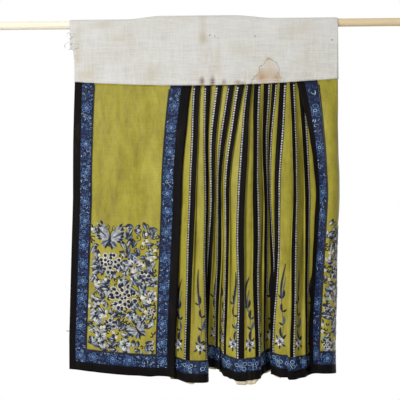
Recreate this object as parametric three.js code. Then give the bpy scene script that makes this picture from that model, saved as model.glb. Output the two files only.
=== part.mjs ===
// An embroidered wrap skirt of green silk, folded in half and hung over a wooden rod.
//
// Units are millimetres, +Z is up and the front faces -Y. The origin is on the rod's axis, halfway along it.
// One long cloth runs from the front panel's free edge, through the first pleated side, round the fold at
// the right, through the second pleated side, and back to the free edge of the plain underlap. At each height
// it is a line in plan through named stations. Each piece is a wall built on a block of those stations.

import * as THREE from "three";

// Driving dimensions
const ROD_RADIUS = 10.2;
const ROD_LENGTH = 1060;
const ROD_SIDES = 24;
const CLOTH = 1.2; // ground silk with its lining
const TRIM = 1.0; // borders, strips and hem bands, laid on the ground
const BAND_WALL = 1.0; // waistband cotton
const GAP = 0.3; // between pieces that are sewn together or lie on each other
const ROD_CLEARANCE = 0.5; // between the rod and the corners of the band's faceted round
const SEAM_Z = -156; // foot of the waistband at the middle
const SEAM_RISE = 14; // how much higher that seam is at the two ends
const MIDDLE_Z = -440; // height of the middle table
const HEM_TABLE_Z = -790; // from here down the plan stays the same
const HEM_BLUE = 32; // heights of the two hem bands
const HEM_BLACK = 21;
const FACING = 24; // height of the cream hem facing
const HALF_WIDTH = 343; // from the middle to the fold at the right

// The middle plane between the front half and the back half of the skirt, in front of the rod's axis
const MID_PLANE = ROD_RADIUS + ROD_CLEARANCE + BAND_WALL + GAP;

// Plan of the first pleated side. L0 is the front panel's edge, L1 to L6 and R1 to R6 are the black strips
// and R7 is the second panel's edge. away is the strip's flat edge, fold its folded edge and tuck the
// hidden crease behind the fold. x runs to the right and d forward of the middle plane. belly pushes the
// middle of the gore forward.
const PLEAT_COLUMNS = ["name", "awayX", "awayD", "foldX", "foldD", "tuckX", "tuckD", "belly", "hem"];

const AT_SEAM = table([
  ["L0", -46, 9, -24, 10, -31, 4.5, -0.8, 0],
  ["L1", -18, 6.5, 0, 9, -7, 4, -0.5, 0],
  ["L2", 9.5, 6.5, 25.5, 9, 18.5, 4, -0.5, 0],
  ["L3", 38, 6.5, 54, 9, 46, 4, -0.5, 0],
  ["L4", 68, 6.5, 84, 9, 77, 4, -0.5, 0],
  ["L5", 90, 6.5, 109, 9, 101, 4, -0.5, 0],
  ["L6", 115, 6.5, 128, 9, 121, 4, -0.5, 0],
  ["R1", 148.5, 6.5, 132.5, 9, 139.5, 4, 0, 0],
  ["R2", 173, 6.5, 156, 9, 163, 4, -0.8, 0],
  ["R3", 190, 6.5, 177, 9, 184, 4, -1.2, 0],
  ["R4", 213, 6.5, 196, 9, 203, 4, -0.8, 0],
  ["R5", 233, 6.5, 220.5, 9, 227, 4, -0.8, 0],
  ["R6", 256, 5.4, 241, 5.8, 248, 2.2, -2.7, 0],
  ["R7", 256.5, 12, 239, 14, 262, 8.5, -1.2, 0],
]);

const AT_MIDDLE = table([
  ["L0", -70, 17, -51.5, 21, -60, 12, -3, 0],
  ["L1", -31.5, 27, -15.5, 32, -21, 23, 0.5, 0],
  ["L2", 4.5, 31, 13, 17, 1, 12, -1, 0],
  ["L3", 19, 14, 31, 20, 25, 12, -2.5, 0],
  ["L4", 37.5, 17, 50, 29, 45, 19, 0, 0],
  ["L5", 58.5, 28, 69.5, 36, 63, 26.5, 0.5, 0],
  ["L6", 88, 38, 106, 42, 98, 34.5, 1.5, 0],
  ["R1", 139.5, 36, 123.5, 41, 131, 33.5, 0, 0],
  ["R2", 162.5, 13.5, 151.5, 25, 156.5, 12, -3, 0],
  ["R3", 170.5, 31, 167, 17, 180, 12, -1.5, 0],
  ["R4", 195.5, 37, 181, 34, 188, 27.5, 0, 0],
  ["R5", 235, 36, 224, 40, 230, 33.5, 2.5, 0],
  ["R6", 267.5, 12, 254.5, 21.5, 260, 11, -7, 0],
  ["R7", 290.5, 28, 283, 17, 290, 11.8, -0.5, 0],
]);

const AT_HEM = table([
  ["L0", -88, 25, -72, 30, -82, 17, -6, -877],
  ["L1", -47, 37, -33.5, 47, -24, 49, 3, -886],
  ["L2", 7, 49, 10.5, 31.5, -7, 14, -1.5, -886],
  ["L3", 2, 11.5, 13.5, 12, 23, 12.2, -1.5, -853],
  ["L4", 29.5, 20, 36.5, 36, 41, 25, 0, -856],
  ["L5", 49.5, 41, 56, 50, 65, 53, 2, -872],
  ["L6", 80, 60, 99, 62, 106.5, 59.5, 1.5, -881],
  ["R1", 138.5, 54, 126, 61, 118.5, 59, 0, -877],
  ["R2", 153, 18, 149, 36, 142, 39, 0, -867],
  ["R3", 181, 27.5, 167, 23, 184, 15.5, -4.5, -854],
  ["R4", 173, 53, 165.5, 41, 188, 35.5, -4, -868],
  ["R5", 222.5, 60, 210, 62, 203.5, 58.5, 3, -879],
  ["R6", 255, 17, 250, 35, 242.5, 38, -1, -877],
  ["R7", 269.5, 37, 262.5, 23, 285, 14.5, -3, -867],
]);

// Plan of the flat stretches: x and d at the seam, at the middle and at the hem, then the hem's height
const FLAT_COLUMNS = ["name", "seamX", "seamD", "middleX", "middleD", "hemX", "hemD", "hem"];

const FRONT_PANEL = table([
  ["edge", -312, 8, -319, 10, -331.5, 13, -855],
  ["blackBlue", -294.5, 8, -301.5, 11, -316.5, 15, -856],
  ["blueGreen", -264, 8, -274, 12, -289.5, 18, -860],
  ["left", -210, 8, -222, 13, -238, 20, -866],
  ["middle", -160, 8, -175, 13, -190, 20, -871],
  ["trough", -120, 8, -138, 11, -152, 17, -873],
  ["ridge", -100, 8, -118, 13, -132, 21, -875],
  ["greenBlue", -75, 8.5, -98.5, 14, -115.5, 22, -873],
  ["blueBlack", -46, 9, -70, 17, -88, 25, -874],
], FLAT_COLUMNS);

const SIDE_PANEL = table([
  ["blackBlue", 256.5, 12, 290.5, 28, 269.5, 37, -866],
  ["blueGreen", 289, 9.5, 307, 41, 282, 53, -866],
  ["front1", 312, 8.5, 322, 41, 298, 51, -867],
  ["front2", 330, 8, 333, 32, 314, 42, -868],
  ["turn1", 338.5, 6, 339, 20, 323.5, 26, -870],
  ["turn2", 341.5, 2.5, 341, 7, 328, 9, -871],
  ["turn3", 341.5, -2.5, 341, -7, 328, -9, -871],
  ["turn4", 338.5, -6, 339, -20, 323.5, -25, -871],
  ["back1", 325, -8, 330, -31, 311, -36, -870],
  ["back2", 290, -8.5, 300, -33, 285, -38, -868],
  ["greenBlue", 232, -8.5, 236, -27, 244, -35, -864],
  ["blueBlack", 204, -8.5, 208, -22, 216, -31, -862],
], FLAT_COLUMNS);

const UNDERLAP = table([
  ["blackGreen", -115, -12, -184, -19, -175, -27, -858],
  ["right", -160, -9, -220, -20, -215, -25, -858],
  ["middle", -205, -8.5, -255, -17, -255, -22, -857],
  ["left", -255, -8.5, -285, -13, -292, -17, -856],
  ["greenBlack", -292, -8.5, -299, -11, -311, -14, -855],
  ["edge", -309.5, -8, -316.5, -10, -328.5, -13, -855],
], FLAT_COLUMNS);

// The second pleated side is the same work, seen from behind: it starts where the second panel ends
const BACK_START = { seam: 186, middle: 190, hem: 198 };
const BACK_STRETCH = 1.075;
const BACK_HEM = -858;

const LEFT = ["L1", "L2", "L3", "L4", "L5", "L6"];
const RIGHT = ["R1", "R2", "R3", "R4", "R5", "R6"];
const STRIPS = [...LEFT, ...RIGHT];

// Heights of the grid's rows, with the last three taken from the hem's own line
const ROW_HEIGHTS = [null, -230, -330, MIDDLE_Z, -530, -620];
const ROW = { seam: 0, split: 4, hemTop: 6, hemMiddle: 7, hem: 8 };
const FACING_ROW = { top: 0, bottom: 1 };

const COLOURS = {
  silk: { color: 0xa79f45, roughness: 0.55 },
  blue: { color: 0x3c4468, roughness: 0.8 },
  black: { color: 0x1e1a1b, roughness: 0.5 },
  cotton: { color: 0xdedcd2, roughness: 0.95 },
  lining: { color: 0xd8ccb0, roughness: 0.9 },
  wood: { color: 0xe0cda4, roughness: 0.6 },
};

function table(rows, columns = PLEAT_COLUMNS) {
  return rows.map((row) => Object.fromEntries(columns.map((column, i) => [column, row[i]])));
}

const mix = (a, b, t) => a + (b - a) * t;
const mixPoint = (p, q, t) => [mix(p[0], q[0], t), mix(p[1], q[1], t)];
const clamp = (value, low, high) => Math.min(high, Math.max(low, value));

function direction(from, to) {
  const length = Math.hypot(to[0] - from[0], to[1] - from[1]);
  return [(to[0] - from[0]) / length, (to[1] - from[1]) / length];
}

// The way the cloth runs at a rounded corner, the mean of the ways in and out, and how sharp the corner is:
// 0 where it runs straight on and 1 where it doubles back
function turning(before, corner, after) {
  const a = direction(before, corner);
  const b = direction(corner, after);
  const way = direction([0, 0], [a[0] + b[0], a[1] + b[1]]);
  return { way, sharp: (1 - a[0] * b[0] - a[1] * b[1]) / 2 };
}

const along = (point, way, distance) => [point[0] + way[0] * distance, point[1] + way[1] * distance];

function seamHeight(x) {
  return SEAM_Z + SEAM_RISE * (x / HALF_WIDTH) ** 2;
}

// 0 at the seam, 1 at the middle table and 2 at the hem table. The pleats open fastest near the seam.
function stage(z) {
  if (z > MIDDLE_Z) {
    const t = (SEAM_Z - z) / (SEAM_Z - MIDDLE_Z);
    return 1 - (1 - clamp(t, 0, 1)) ** 1.7;
  }
  return 1 + clamp((MIDDLE_Z - z) / (MIDDLE_Z - HEM_TABLE_Z), 0, 1);
}

function between(seam, middle, hem, at) {
  return at < 1 ? mix(seam, middle, at) : mix(middle, hem, at - 1);
}

// A pleat that opens below the middle does it by swinging its tuck round behind the fold, at the fold's distance
function swungTuck(fold, middle, hem, t) {
  const reach = ({ foldX, foldD, tuckX, tuckD }) => [tuckX - foldX, tuckD - foldD];
  const [from, to] = [reach(middle), reach(hem)];
  const start = Math.atan2(from[1], from[0]);
  const turn = Math.atan2(to[1], to[0]) - start;
  const angle = start + mix(0, turn - 2 * Math.PI * Math.round(turn / (2 * Math.PI)), t);
  return along(fold, [Math.cos(angle), Math.sin(angle)], mix(Math.hypot(...from), Math.hypot(...to), t));
}

// Control points of one pleated side at a stage
function pleatsAt(at) {
  const pleats = {};
  AT_SEAM.forEach((seam, i) => {
    const value = (column) => between(seam[column], AT_MIDDLE[i][column], AT_HEM[i][column], at);
    const fold = [value("foldX"), value("foldD")];
    pleats[seam.name] = {
      away: [value("awayX"), value("awayD")],
      fold,
      tuck: at < 1 ? [value("tuckX"), value("tuckD")] : swungTuck(fold, AT_MIDDLE[i], AT_HEM[i], at - 1),
      belly: value("belly"),
      hem: AT_HEM[i].hem,
    };
  });
  return pleats;
}

// Cloth taken up by the turn at a corner. It grows at the hem, where the bands are folded with the ground,
// and is less where the corner has opened.
const FOLD_ROUND = [2, 2.6, 5];
const TUCK_ROUND = [2.4, 3.2, 5];
const OPEN_ROUND = 0.35;

function roundness([seam, middle, hem], at, sharp) {
  const full = at < 1 ? mix(seam, middle, at) : mix(middle, hem, (at - 1) ** 3);
  return full * mix(OPEN_ROUND, 1, sharp);
}

// The middle of a gore, between its tuck and where it is sewn on
function goreMiddle(from, to, belly) {
  const way = direction(from, to);
  return along(mixPoint(from, to, 0.5), [-way[1], way[0]], belly);
}

// The line in plan of one pleated side, from the first panel's edge to the second's
function pleatLine(at) {
  const pleats = pleatsAt(at);
  const line = [];
  const put = (name, point, hem) => line.push({ name, x: point[0], d: point[1], hem });

  ["L0", ...LEFT].forEach((name, i) => {
    const { away, fold, tuck, belly, hem } = pleats[name];
    const last = name === "L6";
    const next = last ? pleats.R1 : pleats[LEFT[i]];
    const middle = goreMiddle(tuck, last ? next.tuck : next.away, belly);
    const foldTurn = turning(away, fold, tuck);
    const foldBack = along(fold, foldTurn.way, roundness(FOLD_ROUND, at, foldTurn.sharp));
    const tuckTurn = turning(foldBack, tuck, middle);
    const tuckHalf = roundness(TUCK_ROUND, at, tuckTurn.sharp) / 2;
    const nextHem = (hem + next.hem) / 2;
    if (name !== "L0") put(`${name}.away`, away, hem);
    put(`${name}.fold`, fold, hem);
    put(`${name}.foldBack`, foldBack, hem);
    put(`${name}.tuckIn`, along(tuck, tuckTurn.way, -tuckHalf), nextHem);
    put(`${name}.tuckOut`, along(tuck, tuckTurn.way, tuckHalf), nextHem);
    put(`${name}.middle`, middle, nextHem);
  });

  [...RIGHT, "R7"].forEach((name, i) => {
    const { away, fold, tuck, belly, hem } = pleats[name];
    const before = name === "R1" ? pleats.L6 : pleats[RIGHT[i - 1]];
    const start = name === "R1" ? before.tuck : before.away;
    const middle = name === "R1" ? goreMiddle(start, tuck, before.belly) : goreMiddle(start, tuck, belly);
    const foldTurn = turning(tuck, fold, away);
    const foldBack = along(fold, foldTurn.way, -roundness(FOLD_ROUND, at, foldTurn.sharp));
    const tuckTurn = turning(middle, tuck, foldBack);
    const tuckHalf = roundness(TUCK_ROUND, at, tuckTurn.sharp) / 2;
    const goreHem = (hem + before.hem) / 2;
    if (name !== "R1") put(`${name}.middle`, middle, goreHem);
    put(`${name}.tuckIn`, along(tuck, tuckTurn.way, -tuckHalf), goreHem);
    put(`${name}.tuckOut`, along(tuck, tuckTurn.way, tuckHalf), goreHem);
    put(`${name}.foldBack`, foldBack, hem);
    put(`${name}.fold`, fold, hem);
    if (name !== "R7") put(`${name}.away`, away, hem);
  });
  return line;
}

function flatLine(rows, prefix, at) {
  return rows.map((row) => ({
    name: `${prefix}.${row.name}`,
    x: between(row.seamX, row.middleX, row.hemX, at),
    d: between(row.seamD, row.middleD, row.hemD, at),
    hem: row.hem,
  }));
}

// The whole cloth in plan, from the front panel's free edge round to the underlap's
function clothLine(at) {
  const pleats = pleatLine(at);
  const start = between(BACK_START.seam, BACK_START.middle, BACK_START.hem, at);
  const back = pleats.map(({ name, x, d }) => ({
    name: `back.${name}`,
    x: start - (x - pleats[0].x) * BACK_STRETCH,
    d: -d,
    hem: BACK_HEM,
  }));
  return [
    ...flatLine(FRONT_PANEL, "front", at),
    ...pleats,
    ...flatLine(SIDE_PANEL, "side", at),
    ...back,
    ...flatLine(UNDERLAP, "under", at),
  ];
}

// Which way each station faces: square to the cloth, longer at a sharp turn so that a wall keeps its thickness
function facing(line) {
  return line.map((station, i) => {
    const before = line[Math.max(0, i - 1)];
    const after = line[Math.min(line.length - 1, i + 1)];
    const here = [station.x, station.d];
    const a = i > 0 ? direction([before.x, before.d], here) : direction(here, [after.x, after.d]);
    const b = i < line.length - 1 ? direction(here, [after.x, after.d]) : a;
    const way = direction([0, 0], [a[0] + b[0], a[1] + b[1]]);
    const stretch = Math.min(1.5, 1 / Math.max(0.01, way[0] * a[0] + way[1] * a[1]));
    return [-way[1] * stretch, way[0] * stretch];
  });
}

// A grid row: the stations in plan with their facing and height
function gridRow(at, height) {
  const line = clothLine(at);
  const faces = facing(line);
  return line.map((station, i) => ({ ...station, face: faces[i], z: height(station) }));
}

const grid = [
  gridRow(0, ({ x }) => seamHeight(x)),
  ...ROW_HEIGHTS.slice(1).map((z) => gridRow(stage(z), () => z)),
  gridRow(2, ({ hem }) => hem + HEM_BLACK + HEM_BLUE + GAP),
  gridRow(2, ({ hem }) => hem + HEM_BLACK),
  gridRow(2, ({ hem }) => hem),
];
const column = Object.fromEntries(grid[0].map(({ name }, i) => [name, i]));

// How far the cream facing hangs below the hem at a station. It shows as slivers under the first billow, the
// first recess and the second recess, and as a tab under the second billow. Elsewhere it stays above the hem.
const FACING_DROPS = {
  "L1.away": 1, "L1.fold": 4, "L1.foldBack": 4, "L1.tuckIn": 4, "L1.tuckOut": 2,
  "L3.away": 5, "L3.fold": 5, "L3.foldBack": 5, "L3.tuckIn": 5, "L3.tuckOut": 5, "L3.middle": 5, "L4.away": 3,
  "L6.away": 9, "L6.fold": 10, "L6.foldBack": 10, "L6.tuckIn": 10, "L6.tuckOut": 10, "L6.middle": 11,
  "R1.tuckIn": 11, "R1.tuckOut": 11, "R1.foldBack": 11, "R1.fold": 12,
  "R2.away": 4, "R3.middle": 5, "R4.away": 3, "R5.middle": 2,
};
const FACING_HIDDEN = -3;
const facingGrid = [
  gridRow(2, ({ hem }) => hem + FACING),
  gridRow(2, ({ hem, name }) => hem - (FACING_DROPS[name] ?? FACING_HIDDEN)),
];

const point3 = ({ x, d, z, face }, offset) => [
  x + face[0] * offset,
  -(MID_PLANE + d + face[1] * offset),
  z,
];

function meshFrom(name, finish, vertices, triangles) {
  const geometry = new THREE.BufferGeometry();
  geometry.setAttribute("position", new THREE.Float32BufferAttribute(vertices.flat(), 3));
  geometry.setIndex(triangles.flat());
  geometry.computeVertexNormals();
  const material = new THREE.MeshStandardMaterial({ ...COLOURS[finish], metalness: 0 });
  const mesh = new THREE.Mesh(geometry, material);
  mesh.name = name;
  return mesh;
}

// A closed wall over the cells of a grid that covers(column, row) picks, from one depth to another.
// place(column, row, depth) gives a point, and edges where the picked cells end are drawn in by half a gap.
function wall(name, finish, columns, rows, covers, place, inner, outer) {
  const vertices = [];
  const triangles = [];
  const numbers = new Map();
  const has = (i, k) => i >= 0 && k >= 0 && i < columns && k < rows && covers(i, k);

  function vertex(i, k, depth) {
    const key = `${i} ${k} ${depth}`;
    if (!numbers.has(key)) {
      const [a, b, c, d] = [has(i - 1, k - 1), has(i, k - 1), has(i - 1, k), has(i, k)].map(Number);
      const drawn = place(i, k, depth);
      const shift = (di, dk) => {
        if (!di && !dk) return;
        const towards = new THREE.Vector3(...place(i + di, k + dk, depth));
        const from = new THREE.Vector3(...place(i, k, depth));
        const step = towards.sub(from).setLength(GAP / 2).toArray();
        step.forEach((value, axis) => (drawn[axis] += value));
      };
      shift(Math.sign(b + d - a - c), 0);
      shift(0, Math.sign(c + d - a - b));
      numbers.set(key, vertices.push(drawn) - 1);
    }
    return numbers.get(key);
  }

  function quad(a, b, c, d) {
    triangles.push([a, b, c], [a, c, d]);
  }

  for (let i = 0; i < columns; i++) {
    for (let k = 0; k < rows; k++) {
      if (!has(i, k)) continue;
      const corner = (di, dk, depth) => vertex(i + di, k + dk, depth);
      quad(corner(0, 0, outer), corner(0, 1, outer), corner(1, 1, outer), corner(1, 0, outer));
      quad(corner(0, 0, inner), corner(1, 0, inner), corner(1, 1, inner), corner(0, 1, inner));
      if (!has(i, k - 1)) {
        quad(corner(0, 0, outer), corner(1, 0, outer), corner(1, 0, inner), corner(0, 0, inner));
      }
      if (!has(i, k + 1)) {
        quad(corner(1, 1, outer), corner(0, 1, outer), corner(0, 1, inner), corner(1, 1, inner));
      }
      if (!has(i - 1, k)) {
        quad(corner(0, 1, outer), corner(0, 0, outer), corner(0, 0, inner), corner(0, 1, inner));
      }
      if (!has(i + 1, k)) {
        quad(corner(1, 0, outer), corner(1, 1, outer), corner(1, 1, inner), corner(1, 0, inner));
      }
    }
  }
  return meshFrom(name, finish, vertices, triangles);
}

const GROUND = [-CLOTH / 2, CLOTH / 2];
const LAID_ON = [CLOTH / 2 + GAP, CLOTH / 2 + GAP + TRIM];
const LAID_BEHIND = [-CLOTH / 2 - GAP - TRIM, -CLOTH / 2 - GAP];

// A piece of the cloth between two stations and two rows, or over a mask of such blocks
function piece(name, finish, blocks, [inner, outer], rows = grid) {
  const covers = (i, k) =>
    blocks.some(([from, to, top, bottom]) => i >= column[from] && i < column[to] && k >= top && k < bottom);
  const place = (i, k, depth) => point3(rows[k][i], depth);
  return wall(name, finish, rows[0].length - 1, rows.length - 1, covers, place, inner, outer);
}

const twoDigits = (number) => String(number).padStart(2, "0");

function panels() {
  const { seam, hemTop, hemMiddle, hem } = ROW;
  return [
    piece("front_panel", "silk", [["front.edge", "L0.foldBack", seam, hem]], GROUND),
    piece("front_panel_blue", "blue", [
      ["front.blackBlue", "front.blueGreen", seam, hemMiddle],
      ["front.greenBlue", "front.blueBlack", seam, hemMiddle],
      ["front.blackBlue", "front.blueBlack", hemTop, hemMiddle],
    ], LAID_ON),
    piece("front_panel_black", "black", [
      ["front.edge", "front.blackBlue", seam, hem],
      ["front.blueBlack", "L0.fold", seam, hem],
      ["front.edge", "L0.fold", hemMiddle, hem],
    ], LAID_ON),
    piece("side_panel", "silk", [["R7.foldBack", "back.L0.foldBack", seam, hem]], GROUND),
    piece("side_panel_blue", "blue", [
      ["side.blackBlue", "side.blueGreen", seam, hemMiddle],
      ["side.greenBlue", "side.blueBlack", seam, hemMiddle],
      ["side.blackBlue", "side.blueBlack", hemTop, hemMiddle],
    ], LAID_ON),
    piece("side_panel_black", "black", [
      ["R7.fold", "side.blackBlue", seam, hem],
      ["side.blueBlack", "back.L0.fold", seam, hem],
      ["R7.fold", "back.L0.fold", hemMiddle, hem],
    ], LAID_ON),
    piece("underlap", "silk", [["back.R7.foldBack", "under.edge", seam, hem]], GROUND),
    piece("underlap_black", "black", [
      ["back.R7.fold", "under.blackGreen", seam, hem],
      ["under.greenBlack", "under.edge", seam, hem],
      ["back.R7.fold", "under.edge", hemMiddle, hem],
    ], LAID_ON),
  ];
}

// Where each gore starts and ends: at a strip's flat edge, or under a panel's folded edge
function goreEnds(prefix) {
  const seams = [
    `${prefix}L0.foldBack`,
    ...STRIPS.map((name) => `${prefix}${name}.away`),
    `${prefix}R7.foldBack`,
  ];
  return seams.slice(1).map((to, i) => [seams[i], to]);
}

function strip(name, prefix, which) {
  const ends = [`${prefix}${which}.away`, `${prefix}${which}.fold`];
  const [from, to] = which.startsWith("L") ? ends : ends.reverse();
  return piece(name, "black", [[from, to, ROW.seam, ROW.hemTop]], LAID_ON);
}

// The bands and the facing stop where the outer gores go out of sight under the panels' edges
const hemEnds = (prefix) => [`${prefix}L0.tuckIn`, `${prefix}R7.tuckOut`];

function hemBands(half, prefix) {
  const [from, to] = hemEnds(prefix);
  return [
    piece(`${half}_hem_blue`, "blue", [[from, to, ROW.hemTop, ROW.hemMiddle]], LAID_ON),
    piece(`${half}_hem_black`, "black", [[from, to, ROW.hemMiddle, ROW.hem]], LAID_ON),
  ];
}

// The first gore leans under the first billow, and is in two lengths so that each stays clear of the hollow there
function frontPleats() {
  const [[from0, to0], ...otherEnds] = goreEnds("");
  const gores = [
    piece("front_gore_00_upper", "silk", [[from0, to0, ROW.seam, ROW.split]], GROUND),
    piece("front_gore_00_lower", "silk", [[from0, to0, ROW.split, ROW.hem]], GROUND),
    ...otherEnds.map(([from, to], i) =>
      piece(`front_gore_${twoDigits(i + 1)}`, "silk", [[from, to, ROW.seam, ROW.hem]], GROUND)),
  ];
  const strips = STRIPS.map((which, i) => strip(`front_strip_${twoDigits(i + 1)}`, "", which));
  const facingPiece = piece("front_hem_lining", "lining",
    [[...hemEnds(""), FACING_ROW.top, FACING_ROW.bottom]], LAID_BEHIND, facingGrid);
  return [...gores, ...strips, ...hemBands("front", ""), facingPiece];
}

// Groups of gores that share a node
const BACK_GROUPS = [[0, 1], [2, 3], [4, 6], [7, 8], [9, 12]];

function backPleats() {
  const ends = goreEnds("back.");
  const gores = BACK_GROUPS.map(([first, last], i) =>
    piece(`back_gores_${i + 1}`, "silk", [[ends[first][0], ends[last][1], ROW.seam, ROW.hem]], GROUND));
  const strips = STRIPS.map((which, i) => strip(`back_strip_${twoDigits(i + 1)}`, "back.", which));
  return [...gores, ...strips, ...hemBands("back", "back.")];
}

// The waistband, in section: up the front, over the rod, down behind it and under it to a basted flap
const BAND_AXIS = MID_PLANE; // the doubled band's middle lies this far from the rod's axis
const BAND_LAYERS = BAND_WALL / 2 + GAP; // half of the way from one layer's middle to the other's
const BAND_FLARE = 7.6; // how much the layers spread at the foot, where the pleats are sewn in
const FLAP_BACK = 4.8;
const BAND_LIFT = { height: 8, left: -185, leftFull: -95, rightFull: 80, right: 190 };
const BAND_EDGE = { top: -325, foot: -313 }; // the free left ends
const BAND_COLUMNS = [-1, -0.76, -0.55, -0.38, -0.2, 0, 0.2, 0.36, 0.53, 0.75];
const BAND_TURN = [90, 45, 0, -45, -90]; // round the fold at the right, in degrees

const smooth = (t) => clamp(t, 0, 1) ** 2 * (3 - 2 * clamp(t, 0, 1));
const degrees = Math.PI / 180;

// The band stands clear of the rod along its middle
function lift(x) {
  const { height, left, leftFull, rightFull, right } = BAND_LIFT;
  return height * smooth((x - left) / (leftFull - left)) * smooth((right - x) / (right - rightFull));
}

const BAND_ROUND = [0, 22.5, 45, 67.5, 90, 112.5, 135, 157.5, 180, 202.5, 222.5]; // over the rod, in degrees
const BAND_SECTION = [
  { height: null },
  { height: -110 },
  { height: -70 },
  { height: -35 },
  ...BAND_ROUND.map((angle) => ({ angle })),
  { height: -36, flap: true },
  { height: -62, flap: true },
];

function bandSpread(z) {
  return BAND_LAYERS + BAND_FLARE * clamp(z / SEAM_Z, 0, 1) ** 1.6;
}

// A point of the band: reach is how far it lies outside the doubled band's middle surface
function bandPoint(x, step, reach) {
  const { height, angle, flap } = BAND_SECTION[step];
  if (angle !== undefined) {
    const a = angle * degrees;
    const rise = angle > 180 ? 0 : lift(x);
    return [x, -(BAND_AXIS + reach) * Math.cos(a), (BAND_AXIS + rise + reach) * Math.sin(a)];
  }
  if (flap) return [x, -(BAND_AXIS - FLAP_BACK - reach), height];
  return [x, -(BAND_AXIS + reach), height ?? seamHeight(x) + GAP / 2];
}

function waistband() {
  const turns = BAND_TURN.map((angle) => ({ angle }));
  const sides = BAND_COLUMNS.map((part) => ({ part }));
  const columns = [
    ...sides.map(({ part }) => ({ part, side: 1 })),
    ...turns,
    ...[...sides].reverse().map(({ part }) => ({ part, side: -1 })),
  ];
  const place = (i, k, depth) => {
    const { height, angle: arch, flap } = BAND_SECTION[k];
    const z = arch !== undefined || flap ? 0 : (height ?? SEAM_Z);
    const spread = bandSpread(z);
    const left = mix(BAND_EDGE.top, BAND_EDGE.foot, clamp(z / -100, 0, 1));
    const corner = HALF_WIDTH - spread;
    const { part, side, angle } = columns[i];
    if (angle !== undefined) {
      const reach = spread + depth;
      return bandPoint(corner + reach * Math.cos(angle * degrees), k, reach * Math.sin(angle * degrees));
    }
    return bandPoint(mix(left, corner, (part + 1) / 2), k, side * (spread + depth));
  };
  // The section runs from the foot upwards, so the wall's inner and outer faces change places
  return wall("waistband", "cotton", columns.length - 1, BAND_SECTION.length - 1, () => true,
    place, BAND_WALL / 2, -BAND_WALL / 2);
}

function rod() {
  const geometry = new THREE.CylinderGeometry(ROD_RADIUS, ROD_RADIUS, ROD_LENGTH, ROD_SIDES);
  geometry.rotateZ(Math.PI / 2);
  const mesh = new THREE.Mesh(geometry, new THREE.MeshStandardMaterial({ ...COLOURS.wood, metalness: 0 }));
  mesh.name = "rod";
  return mesh;
}

// Thread loops sewn flat on the band's face by both legs, and standing out past its left end
const LOOP_RADIUS = 0.9;
const LOOP_SIDES = 6;
const LOOPS = [
  { name: "loop_upper", root: -311, tip: -332, top: -21, bottom: -33 },
  { name: "loop_lower", root: -304, tip: -337, top: -45, bottom: -63 },
];

function threadLoop({ name, root, tip, top, bottom }) {
  const face = BAND_AXIS + bandSpread(bottom) + BAND_WALL / 2 + GAP + LOOP_RADIUS + 0.2;
  const middle = (top + bottom) / 2;
  const round = (top - bottom) / 2;
  const points = [
    [root, top - round * 0.5],
    [root - 8, top - round * 0.3],
    [tip + round, top],
    [tip + round * 0.3, top - round * 0.35],
    [tip, middle],
    [tip + round * 0.3, bottom + round * 0.35],
    [tip + round, bottom],
    [root - 8, bottom + round * 0.3],
    [root, bottom + round * 0.5],
  ].map(([x, z]) => new THREE.Vector3(x, -face, z));
  const circle = new THREE.Shape();
  circle.absarc(0, 0, LOOP_RADIUS, 0, 2 * Math.PI, false);
  const geometry = new THREE.ExtrudeGeometry(circle, {
    curveSegments: LOOP_SIDES,
    steps: 16,
    extrudePath: new THREE.CatmullRomCurve3(points),
  });
  const mesh = new THREE.Mesh(geometry, new THREE.MeshStandardMaterial({ ...COLOURS.cotton, metalness: 0 }));
  mesh.name = name;
  return mesh;
}

const skirt = new THREE.Group();
skirt.add(rod(), waistband(), ...LOOPS.map(threadLoop), ...panels(), ...frontPleats(), ...backPleats());

export default skirt;
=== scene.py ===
"""An embroidered wrap skirt of green silk, folded in half and hung over a wooden rod.

Metres, with the rod along X and the front facing -Y. Sizes of the cloth are given in millimetres.
"""

import math
import random

import bpy
import numpy as np
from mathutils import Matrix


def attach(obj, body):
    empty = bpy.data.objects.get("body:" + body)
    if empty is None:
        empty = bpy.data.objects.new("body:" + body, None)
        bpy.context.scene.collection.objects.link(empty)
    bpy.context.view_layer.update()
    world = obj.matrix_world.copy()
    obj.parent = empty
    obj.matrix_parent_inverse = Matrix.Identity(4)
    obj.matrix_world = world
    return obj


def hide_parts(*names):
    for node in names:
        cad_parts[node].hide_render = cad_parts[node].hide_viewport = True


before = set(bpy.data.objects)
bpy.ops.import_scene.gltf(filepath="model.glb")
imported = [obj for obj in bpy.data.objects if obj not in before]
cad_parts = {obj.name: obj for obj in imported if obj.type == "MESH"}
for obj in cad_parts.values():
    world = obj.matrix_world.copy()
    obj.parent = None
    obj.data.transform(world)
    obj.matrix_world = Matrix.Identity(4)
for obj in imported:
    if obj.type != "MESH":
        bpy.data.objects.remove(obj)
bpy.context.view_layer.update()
MM = 0.001

# The rod
#
# A sanded softwood dowel about 20 mm thick, left bare. It lies level and carries the whole skirt. Its ends
# are cut square, with a slight chamfer.
ROD_RADIUS = 10.2
ROD_LENGTH = 1060
ROD_EDGE = 0.8
ROD_SIDES = 64
PALE_WOOD = (240, 232, 214)
TAN_WOOD = (214, 194, 160)
GRAIN_SHARE = 0.55


def linear(colour):
    """A colour given as 0 to 255, as a shader takes it"""
    return tuple(((c / 255 + 0.055) / 1.055) ** 2.4 if c > 10 else c / 255 / 12.92 for c in colour) + (1,)


def new_material(name, colour, roughness, specular=0.3, sheen=0.0):
    material = bpy.data.materials.new(name)
    material.use_nodes = True
    material.diffuse_color = linear(colour)
    shader = material.node_tree.nodes["Principled BSDF"]
    shader.inputs["Base Color"].default_value = linear(colour)
    shader.inputs["Roughness"].default_value = roughness
    shader.inputs["Specular IOR Level"].default_value = specular
    if sheen:
        shader.inputs["Sheen Weight"].default_value = sheen
        shader.inputs["Sheen Roughness"].default_value = 0.4
    return material


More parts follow.
